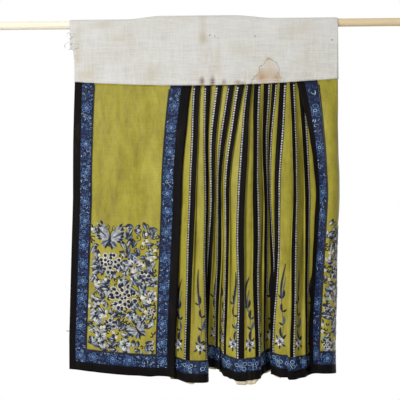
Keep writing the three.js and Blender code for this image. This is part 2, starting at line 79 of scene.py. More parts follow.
def node(material, kind, inputs=None, **settings):
    """A shader node. Its inputs are values, or other nodes' outputs."""
    made = material.node_tree.nodes.new("ShaderNode" + kind)
    for key, value in settings.items():
        setattr(made, key, value)
    for key, value in (inputs or {}).items():
        if isinstance(value, bpy.types.NodeSocket):
            material.node_tree.links.new(value, made.inputs[key])
        else:
            made.inputs[key].default_value = value
    return made


def place(material, scale=(1, 1, 1)):
    """Where a point is on the piece, in metres, stretched by scale"""
    where = node(material, "TexCoord").outputs["Object"]
    return node(material, "Mapping", {"Vector": where, "Scale": scale}).outputs["Vector"]


def noise(material, where, scale, detail=3, roughness=0.55, distortion=0):
    inputs = {"Vector": where, "Scale": scale, "Detail": detail, "Roughness": roughness}
    return node(material, "TexNoise", {**inputs, "Distortion": distortion}).outputs["Fac"]


def ramp(material, factor, stops):
    """Colours at places from 0 to 1"""
    made = node(material, "ValToRGB", {"Fac": factor})
    elements = made.color_ramp.elements
    while len(elements) < len(stops):
        elements.new(0.5)
    for element, (at, colour) in zip(elements, stops):
        element.position = at
        element.color = linear(colour)
    return made.outputs["Color"]


def blended(material, factor, a, b, kind="MIX"):
    """Two colours mixed. Each is a colour from 0 to 255 or another node's output."""
    a, b = (c if isinstance(c, bpy.types.NodeSocket) else linear(c) for c in (a, b))
    return node(material, "Mix", {0: factor, 6: a, 7: b}, data_type="RGBA", blend_type=kind).outputs[2]


def paint(material, colour):
    """The colour that the shader takes"""
    shader = material.node_tree.nodes["Principled BSDF"]
    material.node_tree.links.new(colour, shader.inputs["Base Color"])


def raise_by(material, height, distance, strength=1.0):
    """Bump from a height that runs from 0 to 1 over a distance in metres"""
    shader = material.node_tree.nodes["Principled BSDF"]
    made = node(material, "Bump", {"Height": height, "Distance": distance, "Strength": strength})
    material.node_tree.links.new(made.outputs["Normal"], shader.inputs["Normal"])


def combined(material, kind, a, b=0.0):
    """A sum on one or two numbers, given as values or as other nodes' outputs"""
    return node(material, "Math", {0: a, 1: b}, operation=kind).outputs[0]


def ranged(material, value, start, end, top=1.0):
    """0 at start and top at end, and even between them"""
    inputs = {"Value": value, "From Min": start, "From Max": end, "To Max": top}
    return node(material, "MapRange", inputs).outputs["Result"]


def new_piece(name, vertices, faces, material, slot):
    """A smooth mesh in metres that rides with the rod"""
    mesh = bpy.data.meshes.new(name)
    mesh.from_pydata([tuple(float(x) for x in v) for v in vertices], [], [tuple(f) for f in faces])
    mesh.validate()
    for polygon in mesh.polygons:
        polygon.use_smooth = True
    piece = bpy.data.objects.new(name, mesh)
    bpy.context.scene.collection.objects.link(piece)
    if material:
        mesh.materials.append(material)
    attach(piece, "root")
    return piece


bare_wood = new_material("bare_softwood", PALE_WOOD, 0.62)
grain = noise(bare_wood, place(bare_wood, (1.5, 60, 60)), 6, detail=6, distortion=0.4)
fibre = noise(bare_wood, place(bare_wood, (9, 420, 420)), 3, detail=4)
along = node(bare_wood, "SeparateXYZ", {"Vector": place(bare_wood)}).outputs["X"]
end_tone = ranged(bare_wood, along, -0.25, 0.36)
tone = blended(bare_wood, end_tone, PALE_WOOD, TAN_WOOD)
streaks = ramp(bare_wood, grain, [(0.3, (222, 214, 200)), (0.55, (255, 253, 248)), (0.8, (236, 228, 212))])
paint(bare_wood, blended(bare_wood, GRAIN_SHARE, tone, streaks, "MULTIPLY"))
raise_by(bare_wood, fibre, 0.0003, 0.5)


def turned(stations, sides):
    """A form turned about the rod's axis, from (x, radius) stations in millimetres"""
    vertices = []
    for x, radius in stations:
        for i in range(sides):
            a = 2 * math.pi * i / sides
            vertices.append((x * MM, radius * math.cos(a) * MM, radius * math.sin(a) * MM))
    faces = []
    for k in range(len(stations) - 1):
        for i in range(sides):
            j = (i + 1) % sides
            faces.append((k * sides + j, k * sides + i, (k + 1) * sides + i, (k + 1) * sides + j))
    faces.append(tuple(range(sides)))
    faces.append(tuple(range((len(stations) - 1) * sides, len(stations) * sides))[::-1])
    return vertices, faces


rod_half = ROD_LENGTH / 2
rod_ends = [(0, -ROD_EDGE), (ROD_EDGE * 0.3, -ROD_EDGE * 0.3), (ROD_EDGE, 0)]
rod_stations = [(-rod_half + x, ROD_RADIUS + r) for x, r in rod_ends]
rod_stations += [(x, ROD_RADIUS) for x in np.linspace(-rod_half, rod_half, 55)[1:-1]]
rod_stations += [(rod_half - x, ROD_RADIUS + r) for x, r in reversed(rod_ends)]
rod = new_piece("dowel", *turned(rod_stations, ROD_SIDES), bare_wood, "wood")
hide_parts("rod")

# The first pleated side
#
# Thirteen gores of thin green silk, seamed side by side and gathered into the waistband. Each seam is covered
# with a strip of black satin and a dotted braid, and the strips fold over the gores as pleats, turned towards
# the middle gore.
MIDDLE_PLANE = 12
SEAM_HEIGHT = -156
SEAM_RISE = 14
HALF_WIDTH = 343
MIDDLE_HEIGHT = -440
LOW_HEIGHT = -790
HEM_HEIGHT = -866
BLUE_BAND = 32
BLACK_BAND = 21

# The line of the cloth in plan, at the waist seam, in the middle and at the hem. It runs from the first
# panel's edge (L0) past the strips L1 to L6 and R1 to R6 to the second panel's edge (R7). x is to the right
# and d forward of the middle plane; away, fold and tuck are a strip's flat edge, its fold and the crease
# behind it.
PLEAT_COLUMNS = "name awayX awayD foldX foldD tuckX tuckD belly hem"
# The cloth that a turn takes up at the seam, in the middle and at the hem, and its share at an open turn
FOLD_TAKEN = (2, 2.6, 5)
TUCK_TAKEN = (2.4, 3.2, 5)
OPEN_TAKEN = 0.35
OPENS_EARLY = 1.7
CORNER_SHARE = 0.48

GROUND_ROWS = 76
BLUE_ROWS = 5
BLACK_ROWS = 4
STILL_ROWS = 8
STRETCH_PARTS = (0, 0.07, 0.25, 0.5, 0.75, 0.93)
BRAID_SHARE = 0.36
STRIP_PARTS = (0, 0.07, 0.2, BRAID_SHARE, 0.58, 0.8, 0.93)


def table(columns, *rows):
    return [dict(zip(columns.split(), row)) for row in rows]


AT_SEAM = table(
    PLEAT_COLUMNS,
    ("L0", -46, 9, -24, 10, -31, 4.5, -0.8, 0),
    ("L1", -18, 6.5, 0, 9, -7, 4, -0.5, 0),
    ("L2", 9.5, 6.5, 25.5, 9, 18.5, 4, -0.5, 0),
    ("L3", 38, 6.5, 54, 9, 46, 4, -0.5, 0),
    ("L4", 68, 6.5, 84, 9, 77, 4, -0.5, 0),
    ("L5", 90, 6.5, 109, 9, 101, 4, -0.5, 0),
    ("L6", 115, 6.5, 128, 9, 121, 4, -0.5, 0),
    ("R1", 148.5, 6.5, 132.5, 9, 139.5, 4, 0, 0),
    ("R2", 173, 6.5, 156, 9, 163, 4, -0.8, 0),
    ("R3", 190, 6.5, 177, 9, 184, 4, -1.2, 0),
    ("R4", 213, 6.5, 196, 9, 203, 4, -0.8, 0),
    ("R5", 233, 6.5, 220.5, 9, 227, 4, -0.8, 0),
    ("R6", 256, 5.4, 241, 5.8, 248, 2.2, -2.7, 0),
    ("R7", 256.5, 12, 239, 14, 262, 8.5, -1.2, 0),
)
AT_MIDDLE = table(
    PLEAT_COLUMNS,
    ("L0", -70, 17, -51.5, 21, -60, 12, -3, 0),
    ("L1", -31.5, 27, -15.5, 32, -21, 23, 0.5, 0),
    ("L2", 4.5, 31, 13, 17, 1, 12, -1, 0),
    ("L3", 19, 14, 31, 20, 25, 12, -2.5, 0),
    ("L4", 37.5, 17, 50, 29, 45, 19, 0, 0),
    ("L5", 58.5, 28, 69.5, 36, 63, 26.5, 0.5, 0),
    ("L6", 88, 38, 106, 42, 98, 34.5, 1.5, 0),
    ("R1", 139.5, 36, 123.5, 41, 131, 33.5, 0, 0),
    ("R2", 162.5, 13.5, 151.5, 25, 156.5, 12, -3, 0),
    ("R3", 170.5, 31, 167, 17, 180, 12, -1.5, 0),
    ("R4", 195.5, 37, 181, 34, 188, 27.5, 0, 0),
    ("R5", 235, 36, 224, 40, 230, 33.5, 2.5, 0),
    ("R6", 267.5, 12, 254.5, 21.5, 260, 11, -7, 0),
    ("R7", 290.5, 28, 283, 17, 290, 11.8, -0.5, 0),
)
AT_HEM = table(
    PLEAT_COLUMNS,
    ("L0", -88, 25, -72, 30, -82, 17, -6, -877),
    ("L1", -47, 37, -33.5, 47, -24, 49, 3, -886),
    ("L2", 7, 49, 10.5, 31.5, -7, 14, -1.5, -886),
    ("L3", 2, 11.5, 13.5, 12, 23, 12.2, -1.5, -853),
    ("L4", 29.5, 20, 36.5, 36, 41, 25, 0, -856),
    ("L5", 49.5, 41, 56, 50, 65, 53, 2, -872),
    ("L6", 80, 60, 99, 62, 106.5, 59.5, 1.5, -881),
    ("R1", 138.5, 54, 126, 61, 118.5, 59, 0, -877),
    ("R2", 153, 18, 149, 36, 142, 39, 0, -867),
    ("R3", 181, 27.5, 167, 23, 184, 15.5, -4.5, -854),
    ("R4", 173, 53, 165.5, 41, 188, 35.5, -4, -868),
    ("R5", 222.5, 60, 210, 62, 203.5, 58.5, 3, -879),
    ("R6", 255, 17, 250, 35, 242.5, 38, -1, -877),
    ("R7", 269.5, 37, 262.5, 23, 285, 14.5, -3, -867),
)
LEFT = ["L1", "L2", "L3", "L4", "L5", "L6"]
RIGHT = ["R1", "R2", "R3", "R4", "R5", "R6"]


def mix(a, b, t):
    return a + (b - a) * t


def between(seam, middle, hem, at):
    return np.where(at < 1, mix(seam, middle, at), mix(middle, hem, at - 1))


def direction(a, b):
    """Unit steps from a to b, one for each row"""
    step = b - a
    return step / np.linalg.norm(step, axis=-1, keepdims=True)


def stage(z):
    """0 at the seam, 1 in the middle and 2 low down, where the plan stops changing"""
    down = np.clip((SEAM_HEIGHT - z) / (SEAM_HEIGHT - MIDDLE_HEIGHT), 0, 1)
    lower = np.clip((MIDDLE_HEIGHT - z) / (MIDDLE_HEIGHT - LOW_HEIGHT), 0, 1)
    return np.where(z > MIDDLE_HEIGHT, 1 - (1 - down) ** OPENS_EARLY, 1 + lower)


hem_top = HEM_HEIGHT + BLACK_BAND + BLUE_BAND
row_heights = np.concatenate(
    [
        np.linspace(SEAM_HEIGHT, hem_top, GROUND_ROWS + 1),
        np.linspace(hem_top, HEM_HEIGHT + BLACK_BAND, BLUE_ROWS + 1)[1:],
        np.linspace(HEM_HEIGHT + BLACK_BAND, HEM_HEIGHT, BLACK_ROWS + 1)[1:],
    ]
)
row_stages = stage(row_heights)
ROWS = len(row_heights)
HEM_TOP_ROW = GROUND_ROWS
HEM_MIDDLE_ROW = GROUND_ROWS + BLUE_ROWS
HEM_ROW = ROWS - 1
REACH_ROW = HEM_TOP_ROW - 8


def corner(before, point, after, taken):
    """The way the cloth runs at a corner, and how much cloth its turn takes"""
    a = direction(before, point)
    b = direction(point, after)
    way = a + b
    way /= np.linalg.norm(way, axis=1, keepdims=True)
    sharp = (1 - (a * b).sum(axis=1)) / 2
    seam, middle, hem = taken
    late = mix(middle, hem, np.clip(row_stages - 1, 0, 1) ** 3)
    full = np.where(row_stages < 1, mix(seam, middle, row_stages), late)
    return way, (full * mix(OPEN_TAKEN, 1, sharp))[:, None]


def pleats_by_name():
    pleats = {}
    lower = np.clip(row_stages - 1, 0, 1)
    for seam, middle, hem in zip(AT_SEAM, AT_MIDDLE, AT_HEM):

        def point(what):
            axes = [between(seam[what + a], middle[what + a], hem[what + a], row_stages) for a in "XD"]
            return np.stack(axes, axis=1)

        fold = point("fold")
        reach = [np.array([t["tuckX"] - t["foldX"], t["tuckD"] - t["foldD"]]) for t in (middle, hem)]
        angles = [math.atan2(r[1], r[0]) for r in reach]
        turn = (angles[1] - angles[0] + math.pi) % (2 * math.pi) - math.pi
        angle = angles[0] + turn * lower
        length = mix(np.linalg.norm(reach[0]), np.linalg.norm(reach[1]), lower)
        swung = fold + np.stack([np.cos(angle), np.sin(angle)], axis=1) * length[:, None]
        pleats[seam["name"]] = {
            "away": point("away"),
            "fold": fold,
            "tuck": np.where(row_stages[:, None] < 1, point("tuck"), swung),
            "belly": between(seam["belly"], middle["belly"], hem["belly"], row_stages)[:, None],
            "hem": hem["hem"],
        }
    return pleats


def gore_middle(start, end, belly):
    way = direction(start, end)
    return (start + end) / 2 + np.stack([-way[:, 1], way[:, 0]], axis=1) * belly


def pleat_stations():
    """(name, points in plan for each row, hem height) from the first panel's fold to the second's"""
    pleats = pleats_by_name()
    line = []
    for i, name in enumerate(["L0", *LEFT]):
        own = pleats[name]
        last = name == "L6"
        following = pleats["R1" if last else LEFT[i]]
        middle = gore_middle(own["tuck"], following["tuck" if last else "away"], own["belly"])
        way, taken = corner(own["away"], own["fold"], own["tuck"], FOLD_TAKEN)
        fold_back = own["fold"] + way * taken
        way, taken = corner(fold_back, own["tuck"], middle, TUCK_TAKEN)
        low = (own["hem"] + following["hem"]) / 2
        line.append((name + ".away", own["away"], own["hem"]))
        line.append((name + ".fold", own["fold"], own["hem"]))
        line.append((name + ".foldBack", fold_back, own["hem"]))
        line.append((name + ".tuckIn", own["tuck"] - way * taken / 2, low))
        line.append((name + ".tuckOut", own["tuck"] + way * taken / 2, low))
        line.append((name + ".middle", middle, low))
    for i, name in enumerate([*RIGHT, "R7"]):
        own = pleats[name]
        previous = pleats["L6" if i == 0 else RIGHT[i - 1]]
        start = previous["tuck" if i == 0 else "away"]
        middle = gore_middle(start, own["tuck"], previous["belly"] if i == 0 else own["belly"])
        way, taken = corner(own["tuck"], own["fold"], own["away"], FOLD_TAKEN)
        fold_back = own["fold"] - way * taken
        way, taken = corner(middle, own["tuck"], fold_back, TUCK_TAKEN)
        low = (own["hem"] + previous["hem"]) / 2
        if i > 0:
            line.append((name + ".middle", middle, low))
        line.append((name + ".tuckIn", own["tuck"] - way * taken / 2, low))
        line.append((name + ".tuckOut", own["tuck"] + way * taken / 2, low))
        line.append((name + ".foldBack", fold_back, own["hem"]))
        line.append((name + ".fold", own["fold"], own["hem"]))
        line.append((name + ".away", own["away"], own["hem"]))
    return line


def wrinkle(x, z, seed):
    """Slight unevenness of hung silk, in millimetres: long soft troughs that wander and die out"""
    long = np.sin(x * 0.071 + 1.9 * np.sin(z * 0.0093 + seed) + seed * 2.1)
    cross = np.sin(z * 0.021 + 1.3 * np.sin(x * 0.034 + seed * 1.7) + seed)
    fine = np.sin(x * 0.19 + 2.2 * np.sin(z * 0.017 + seed * 0.7)) * np.sin(z * 0.037 + seed)
    return 0.5 * long + 0.35 * cross + 0.3 * fine


SWAY_LEFT = -60
SWAY_RIGHT = 250
SWAY_FADE = {"side": 50, "top": 120, "foot": 200}


def sway(x, z):
    """How far the hung pleats stray sideways, in millimetres: most about halfway down"""
    share = 1
    across = (x - SWAY_LEFT, "side"), (SWAY_RIGHT - x, "side")
    up = (SEAM_HEIGHT - z, "top"), (z - HEM_HEIGHT, "foot")
    for inside, fade in (*across, *up):
        share = share * np.clip(inside / SWAY_FADE[fade], 0, 1)
    return share * (2.0 * np.sin(z * 0.012 + x * 0.05) + 0.8 * np.sin(z * 0.025 - x * 0.09 + 1.1))


class Cloth:
    """A run of cloth as a grid of points in metres: rows go down it and columns along it"""

    def __init__(self, stations, parts, seed, wrinkled):
        names = [name for name, _, _ in stations]
        plan = np.stack([points for _, points, _ in stations], axis=1)
        hems = np.array([hem for _, _, hem in stations], float)
        top = SEAM_HEIGHT + SEAM_RISE * (plan[0, :, 0] / HALF_WIDTH) ** 2
        low = hems + BLACK_BAND + BLUE_BAND
        z = np.concatenate(
            [
                mix(top, low, np.linspace(0, 1, GROUND_ROWS + 1)[:, None]),
                mix(low, hems + BLACK_BAND, np.linspace(0, 1, BLUE_ROWS + 1)[1:, None]),
                mix(hems + BLACK_BAND, hems, np.linspace(0, 1, BLACK_ROWS + 1)[1:, None]),
            ]
        )
        knots = np.concatenate([plan, z[:, :, None]], axis=2)
        self.column = {}
        columns = []
        step = np.diff(knots, axis=1)
        length = np.linalg.norm(step, axis=2)[:, :, None]
        way = step / length
        cut = np.zeros((ROWS, len(names), 1))
        cut[:, 1:-1] = CORNER_SHARE * np.minimum(length[:, :-1], length[:, 1:])
        for i in range(len(names) - 1):
            self.column[names[i]] = len(columns)
            for v in parts(names[i], names[i + 1]):
                columns.append(self._rounded(knots, step, length, way, cut, i, v))
        self.column[names[-1]] = len(columns)
        columns.append(knots[:, -1])
        grid = np.stack(columns, axis=1)
        flat = np.stack([grid[:, :, 0], -(MIDDLE_PLANE + grid[:, :, 1]), grid[:, :, 2]], axis=2)
        out = self._normals(flat)
        fade = np.clip((np.arange(ROWS) / STILL_ROWS)[:, None], 0, 1)
        flat += out * (wrinkle(flat[:, :, 0], flat[:, :, 2], seed) * wrinkled * fade)[:, :, None]
        flat[:, :, 0] += sway(flat[:, :, 0], flat[:, :, 2])
        self.points = flat * MM
        self.out = self._normals(self.points)
        self.hems = self.points[HEM_ROW, :, 2]
        across = np.linalg.norm(np.diff(self.points[REACH_ROW], axis=0), axis=1)
        self.reach = np.concatenate([[0], np.cumsum(across)]) / MM

    @staticmethod
    def _rounded(knots, step, length, way, cut, i, v):
        """The point at share v of the stretch after knot i, on a line whose corners are rounded off"""
        last = knots.shape[1] - 2
        a = cut[:, i] / length[:, i]
        b = cut[:, i + 1] / length[:, i]
        straight = knots[:, i] + step[:, i] * v

        def arc(k, t):
            start = knots[:, k] - cut[:, k] * way[:, max(0, k - 1)]
            end = knots[:, k] + cut[:, k] * way[:, min(last, k)]
            return start * (1 - t) ** 2 + knots[:, k] * 2 * t * (1 - t) + end * t**2

        first = arc(i, 0.5 + 0.5 * np.clip(v / np.maximum(a, 1e-9), 0, 1))
        second = arc(i + 1, 0.5 * np.clip((v - 1 + b) / np.maximum(b, 1e-9), 0, 1))
        return np.where(v < a, first, np.where(v > 1 - b, second, straight))

    @staticmethod
    def _normals(points):
        along = np.gradient(points, axis=1)
        down = np.gradient(points, axis=0)
        out = np.cross(down, along)
        return out / np.maximum(np.linalg.norm(out, axis=2, keepdims=True), 1e-12)

    def width(self, start, end, row):
        line = self.points[row, self.column[start] : self.column[end] + 1]
        return float(np.linalg.norm(np.diff(line, axis=0), axis=1).sum())

    def spot(self, columns, heights, lift):
        """Points at fractional columns and at heights above the hem, lifted off the cloth, in metres"""
        c = np.clip(columns, 0, self.points.shape[1] - 1.001)
        c0 = c.astype(int)
        f = (c - c0)[:, None]
        z = self.points[:, c0, 2] * (1 - f.T) + self.points[:, c0 + 1, 2] * f.T
        above = (z - z[-1]) / MM
        count = len(self.points)
        rows = np.array([np.interp(-h, -column, np.arange(count)) for h, column in zip(heights, above.T)])
        r = np.clip(rows, 0, count - 1.001)
        r0 = r.astype(int)
        g = (r - r0)[:, None]

        def mean(field):
            upper = field[r0, c0] * (1 - f) + field[r0, c0 + 1] * f
            lower = field[r0 + 1, c0] * (1 - f) + field[r0 + 1, c0 + 1] * f
            return upper * (1 - g) + lower * g

        return mean(self.points) + mean(self.out) * (np.asarray(lift)[:, None] * MM)

    def at(self, name):
        """How far along the cloth a station is, in millimetres near the hem"""
        return float(self.reach[self.column[name]])

    def columns_at(self, reach):
        return np.interp(reach, self.reach, np.arange(len(self.reach)))


def cloth_piece(name, cloth, blocks, material, slot, lift=0.0, thick=0.6, nodes=()):
    """A thin shell over blocks of a cloth's grid, each (from, to, first row, last row), lifted off it"""
    def number(at):
        return at if isinstance(at, int) else cloth.column[at]

    wanted = set()
    for start, end, top, bottom in blocks:
        wanted |= {(r, c) for r in range(top, bottom) for c in range(number(start), number(end))}
    corners = sorted({(r + i, c + j) for r, c in wanted for i in (0, 1) for j in (0, 1)})
    numbers = {key: i for i, key in enumerate(corners)}
    points = cloth.points + cloth.out * (lift * MM)
    vertices = [points[key] for key in corners]
    faces = []
    for r, c in sorted(wanted):
        faces.append([numbers[key] for key in ((r, c), (r + 1, c), (r + 1, c + 1), (r, c + 1))])
    piece = new_piece(name, vertices, faces, material, slot)
    solid = piece.modifiers.new("thickness", "SOLIDIFY")
    solid.thickness = thick * MM
    solid.offset = 0
    if nodes:
        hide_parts(*nodes)
    return piece


def cut_size(cloth, start, end, top, bottom):
    """(width at the top, width at the bottom, length) of a block of cloth, laid flat, in metres"""
    a, b = (cloth.column[name] for name in (start, end))
    line = cloth.points[top : bottom + 1, (a + b) // 2]
    length = float(np.linalg.norm(np.diff(line, axis=0), axis=1).sum())
    return cloth.width(start, end, top), cloth.width(start, end, bottom), length


def declare(cloth, start, end, top, bottom):
    """Works out the flat size of a block of cloth; nothing is done with it"""
    upper, lower, length = cut_size(cloth, start, end, top, bottom)


WAVE_TO_THREADS = 6.3


def weave(material, threads, depth, strength=0.5):
    """A plain weave of that many threads a metre"""
    waves = {"Vector": place(material), "Scale": threads / WAVE_TO_THREADS, "Distortion": 0.6}
    warp, weft = (node(material, "TexWave", waves, bands_direction=way).outputs["Fac"] for way in "XZ")
    both = combined(material, "MULTIPLY", warp, weft)
    slub = noise(material, place(material, (1, 1, 0.12)), 240, detail=2)
    raise_by(material, combined(material, "ADD", both, slub), depth, strength)


SILK = (156, 147, 44)
SILK_SHADE = (112, 100, 24)
green_silk = new_material("green_silk", SILK, 0.5, specular=0.3, sheen=0.2)
# The silk's mottle is partly its own uneven tone and partly painted shade and highlight: dark and light
# upright streaks that stand in for the light and shade of soft creases.
mottle = noise(green_silk, place(green_silk, (1, 1, 0.35)), 26, detail=8, roughness=0.8)
tone_and_painted_crease_shade = ramp(green_silk, mottle, [(0.3, (120, 108, 28)), (0.5, SILK), (0.7, (180, 171, 64))])
ends_of_silk = noise(green_silk, place(green_silk, (1, 1, 0.04)), 520, detail=3)
picks_of_silk = noise(green_silk, place(green_silk, (0.06, 0.06, 1)), 420, detail=3)
threads_seen = combined(green_silk, "MULTIPLY", ends_of_silk, picks_of_silk)
shaded = combined(green_silk, "MULTIPLY", threads_seen, 0.9)
paint(green_silk, blended(green_silk, shaded, tone_and_painted_crease_shade, SILK_SHADE))
weave(green_silk, 1500, 0.0002, 0.5)

SATIN = (15, 12, 11)
black_satin = new_material("black_satin", SATIN, 0.6, specular=0.06)
rubbed = noise(black_satin, place(black_satin, (1, 1, 0.3)), 60, detail=5)
paint(black_satin, ramp(black_satin, rubbed, [(0.35, (10, 8, 8)), (0.6, SATIN), (0.82, (34, 28, 25))]))
weave(black_satin, 1800, 0.0001, 0.3)

BRAID = (30, 30, 40)
navy_braid = new_material("navy_braid", BRAID, 0.6)
picks = noise(navy_braid, place(navy_braid), 700, detail=2)
paint(navy_braid, ramp(navy_braid, picks, [(0.35, (20, 20, 28)), (0.55, BRAID), (0.8, (84, 86, 98))]))
raise_by(navy_braid, picks, 0.0003, 0.6)


def strip_parts(a, b):
    """Stretches from a strip's flat edge to its fold have a column where the braid meets the satin"""
    if a.endswith(".away") and b.endswith(".fold"):
        return STRIP_PARTS
    if a.endswith(".fold") and b.endswith(".away"):
        return (0, *[1 - v for v in reversed(STRIP_PARTS[1:])])
    return STRETCH_PARTS


BRAID_COLUMNS = STRIP_PARTS.index(BRAID_SHARE)


def gore_ends(prefix=""):
    seams = ["L0.foldBack", *[f"{name}.away" for name in LEFT + RIGHT], "R7.foldBack"]
    seams = [prefix + name for name in seams]
    return list(zip(seams[:-1], seams[1:]))


def flowing(points, per_span=5):
    """A smooth line through points"""
    points = np.asarray(points, float)
    ends = np.concatenate([[2 * points[0] - points[1]], points, [2 * points[-1] - points[-2]]])
    line = []
    for i in range(1, len(ends) - 2):
        a, b, c, d = ends[i - 1 : i + 3]
        for t in np.arange(per_span) / per_span:
            bent = (2 * a - 5 * b + 4 * c - d) * t**2
            twisted = (3 * b - a - 3 * c + d) * t**3
            line.append(0.5 * (2 * b + (c - a) * t + bent + twisted))
    return np.array([*line, points[-1]])


class Threads:
    """Raised threadwork on a cloth, gathered by colour into one piece. Spots are (reach, height)."""

    def __init__(self, cloth, base=0.35):
        self.cloth = cloth
        self.base = base
        self.within = None
        self.vertices = []
        self.faces = []
        self.kinds = []

    def stroke(self, spine, widths, colour, rise=0.6, over=0.0):
        """A band of stitches along a spine, highest along its middle"""
        spine = np.asarray(spine, float)
        widths = np.broadcast_to(np.asarray(widths, float) / 2, len(spine))
        way = np.gradient(spine, axis=0)
        way /= np.maximum(np.linalg.norm(way, axis=1, keepdims=True), 1e-9)
        side = np.stack([-way[:, 1], way[:, 0]], axis=1) * widths[:, None]
        flat = np.concatenate([spine + side, spine, spine - side])
        if self.within:
            flat = np.clip(flat, *self.within)
        n = len(spine)
        low = self.base + over
        lift = np.concatenate([np.full(n, low), np.full(n, low + rise), np.full(n, low)])
        lift[[n, 2 * n - 1]] = low + rise * 0.4
        first = sum(len(v) for v in self.vertices)
        self.vertices.append(self.cloth.spot(self.cloth.columns_at(flat[:, 0]), flat[:, 1], lift))
        for a in [first + band * n + i for band in (0, 1) for i in range(n - 1)]:
            self.faces.append((a, a + n, a + n + 1, a + 1))
            self.kinds.append(colour)

    def curl(self, at, radius, turns, start, colour, thick=1.1, hand=1, **raised):
        """A scroll that winds in to its centre"""
        a = np.linspace(0, turns * 2 * math.pi, max(7, int(turns * 10)))
        r = radius * (1 - 0.82 * a / a[-1])
        spine = np.stack([at[0] + r * np.cos(start + hand * a), at[1] + r * np.sin(start + hand * a)], axis=1)
        self.stroke(spine, np.linspace(thick * 0.7, thick, len(a)), colour, **raised)

    def ring(self, at, radius, thick, colour, **raised):
        a = np.linspace(0, 2 * math.pi, 11)
        spine = np.stack([at[0] + radius * np.cos(a), at[1] + radius * np.sin(a)], axis=1)
        self.stroke(spine, thick, colour, **raised)

    def petal(self, at, angle, length, width, colour, bend=0.0, shape=(0.3, 0.85, 1, 0.8, 0.15), **raised):
        """A petal or leaf in satin stitch, from its foot outwards"""
        t = np.linspace(0, 1, len(shape))
        a = angle + bend * t
        steps = np.stack([np.cos(a), np.sin(a)], axis=1) * length / (len(t) - 1)
        steps[0] = 0
        self.stroke(np.asarray(at) + np.cumsum(steps, axis=0), np.array(shape) * width, colour, **raised)

    def finish(self, name, palette, slot):
        piece = new_piece(name, np.concatenate(self.vertices), self.faces, None, slot)
        used = sorted(set(self.kinds))
        for colour in used:
            piece.data.materials.append(palette[colour])
        for polygon, colour in zip(piece.data.polygons, self.kinds):
            polygon.material_index = used.index(colour)
        return piece


def thread_material(name, colour):
    made = new_material(name, colour, 0.45, specular=0.3)
    tone = noise(made, place(made), 160, detail=2)
    darker = tuple(c * 0.72 for c in colour)
    lighter = tuple(min(255, c * 1.12 + 6) for c in colour)
    paint(made, ramp(made, tone, [(0.32, darker), (0.55, colour), (0.78, lighter)]))
    raise_by(made, noise(made, place(made, (1, 1, 0.3)), 900, detail=1), 0.0002, 0.5)
    return made


THREAD_COLOURS = {
    "navy": (20, 22, 44),
    "royal": (26, 56, 112),
    "sky": (74, 114, 168),
    "ice": (146, 174, 208),
    "slate": (62, 76, 102),
    "lavender": (130, 139, 153),
    "pearl": (166, 167, 164),
    "white": (196, 194, 188),
    "mint": (146, 160, 146),
    "ochre": (166, 128, 70),
    "umber": (34, 28, 26),
}
silks = {name: thread_material(f"thread_{name}", colour) for name, colour in THREAD_COLOURS.items()}


LARGE_BLOSSOM = 17


def blossom(threads, at, radius, count, petal_colours, turn):
    """A flower of broad petals, each with a navy vein, round a small ring"""
    for k in range(count):
        a = turn + 2 * math.pi * k / count
        foot = (at[0] + radius * 0.16 * math.cos(a), at[1] + radius * 0.16 * math.sin(a))
        colour = petal_colours[k % len(petal_colours)]
        threads.petal(foot, a, radius * 0.86, radius * 4.4 / count, colour, shape=(0.35, 0.8, 1, 0.9, 0.35))
        threads.petal(foot, a, radius * 0.42, radius * 0.16, "navy", over=0.6, rise=0.3)
    threads.ring(at, radius * 0.13, radius * 0.2, "ochre" if radius > LARGE_BLOSSOM else "navy", over=0.7)


SPRAY_LOW = 68
SPRAY_HIGH = 262
TIP_STEPS = 15


def spray(threads, reach, low, high, seed):
    """A swaying stem with leaves up a gore, and a flower near its foot"""
    draw = random.Random(seed)
    heights = np.linspace(low + 22, high, 7)
    sway = draw.uniform(4, 6.5) * np.sin(np.linspace(0.4, 6.9, 7) + draw.uniform(-0.9, 0.9))
    stem = flowing(np.stack([reach + sway, heights], axis=1))
    threads.stroke(stem[:-8], 1.5, "slate", rise=0.4)
    for k, at in enumerate(stem[1:-12:5]):
        side = 1 if k % 2 else -1
        colour = ("navy", "slate", "navy")[k % 3]
        angle = math.pi / 2 - side * draw.uniform(0.4, 0.9)
        threads.petal(at, angle, draw.uniform(20, 27), draw.uniform(6, 8), colour, bend=side * 0.9, over=0.2)
        threads.petal(at, angle + side * 2.0, draw.uniform(11, 15), 5.2, "navy", bend=-side * 0.5, over=0.2)
    top = stem[-TIP_STEPS:]
    swell = np.sin(np.linspace(0.35, 3.0, TIP_STEPS))
    bowed = top + np.stack([3 * swell * (-1) ** seed, 0 * swell], axis=1)
    threads.stroke(bowed, 1.0 + 4.6 * swell, "navy", over=0.3)
    threads.stroke(top[2:13] + (2.0, -20), 0.4 + 2.2 * swell[2:13], "slate", over=0.2)
    flower = np.array([reach + draw.uniform(-1.5, 1.5), low + 18])
    blossom(threads, flower, draw.uniform(9, 11.5), 5, ("white", "lavender", "white"), draw.uniform(0, 1))
    for angle in (-2.5, -1.6, -0.7, 0.8, 2.3):
        out = np.array([math.cos(angle), math.sin(angle)])
        threads.petal(flower + 7 * out, angle, 11, 4.4, "navy", over=0.2)


BRAID_LIFT = 1.25
BRAID_THICK = 0.6
DOT_STEP = 6.2
DOT_LONG = 3.6
DOT_WIDE = 3.2


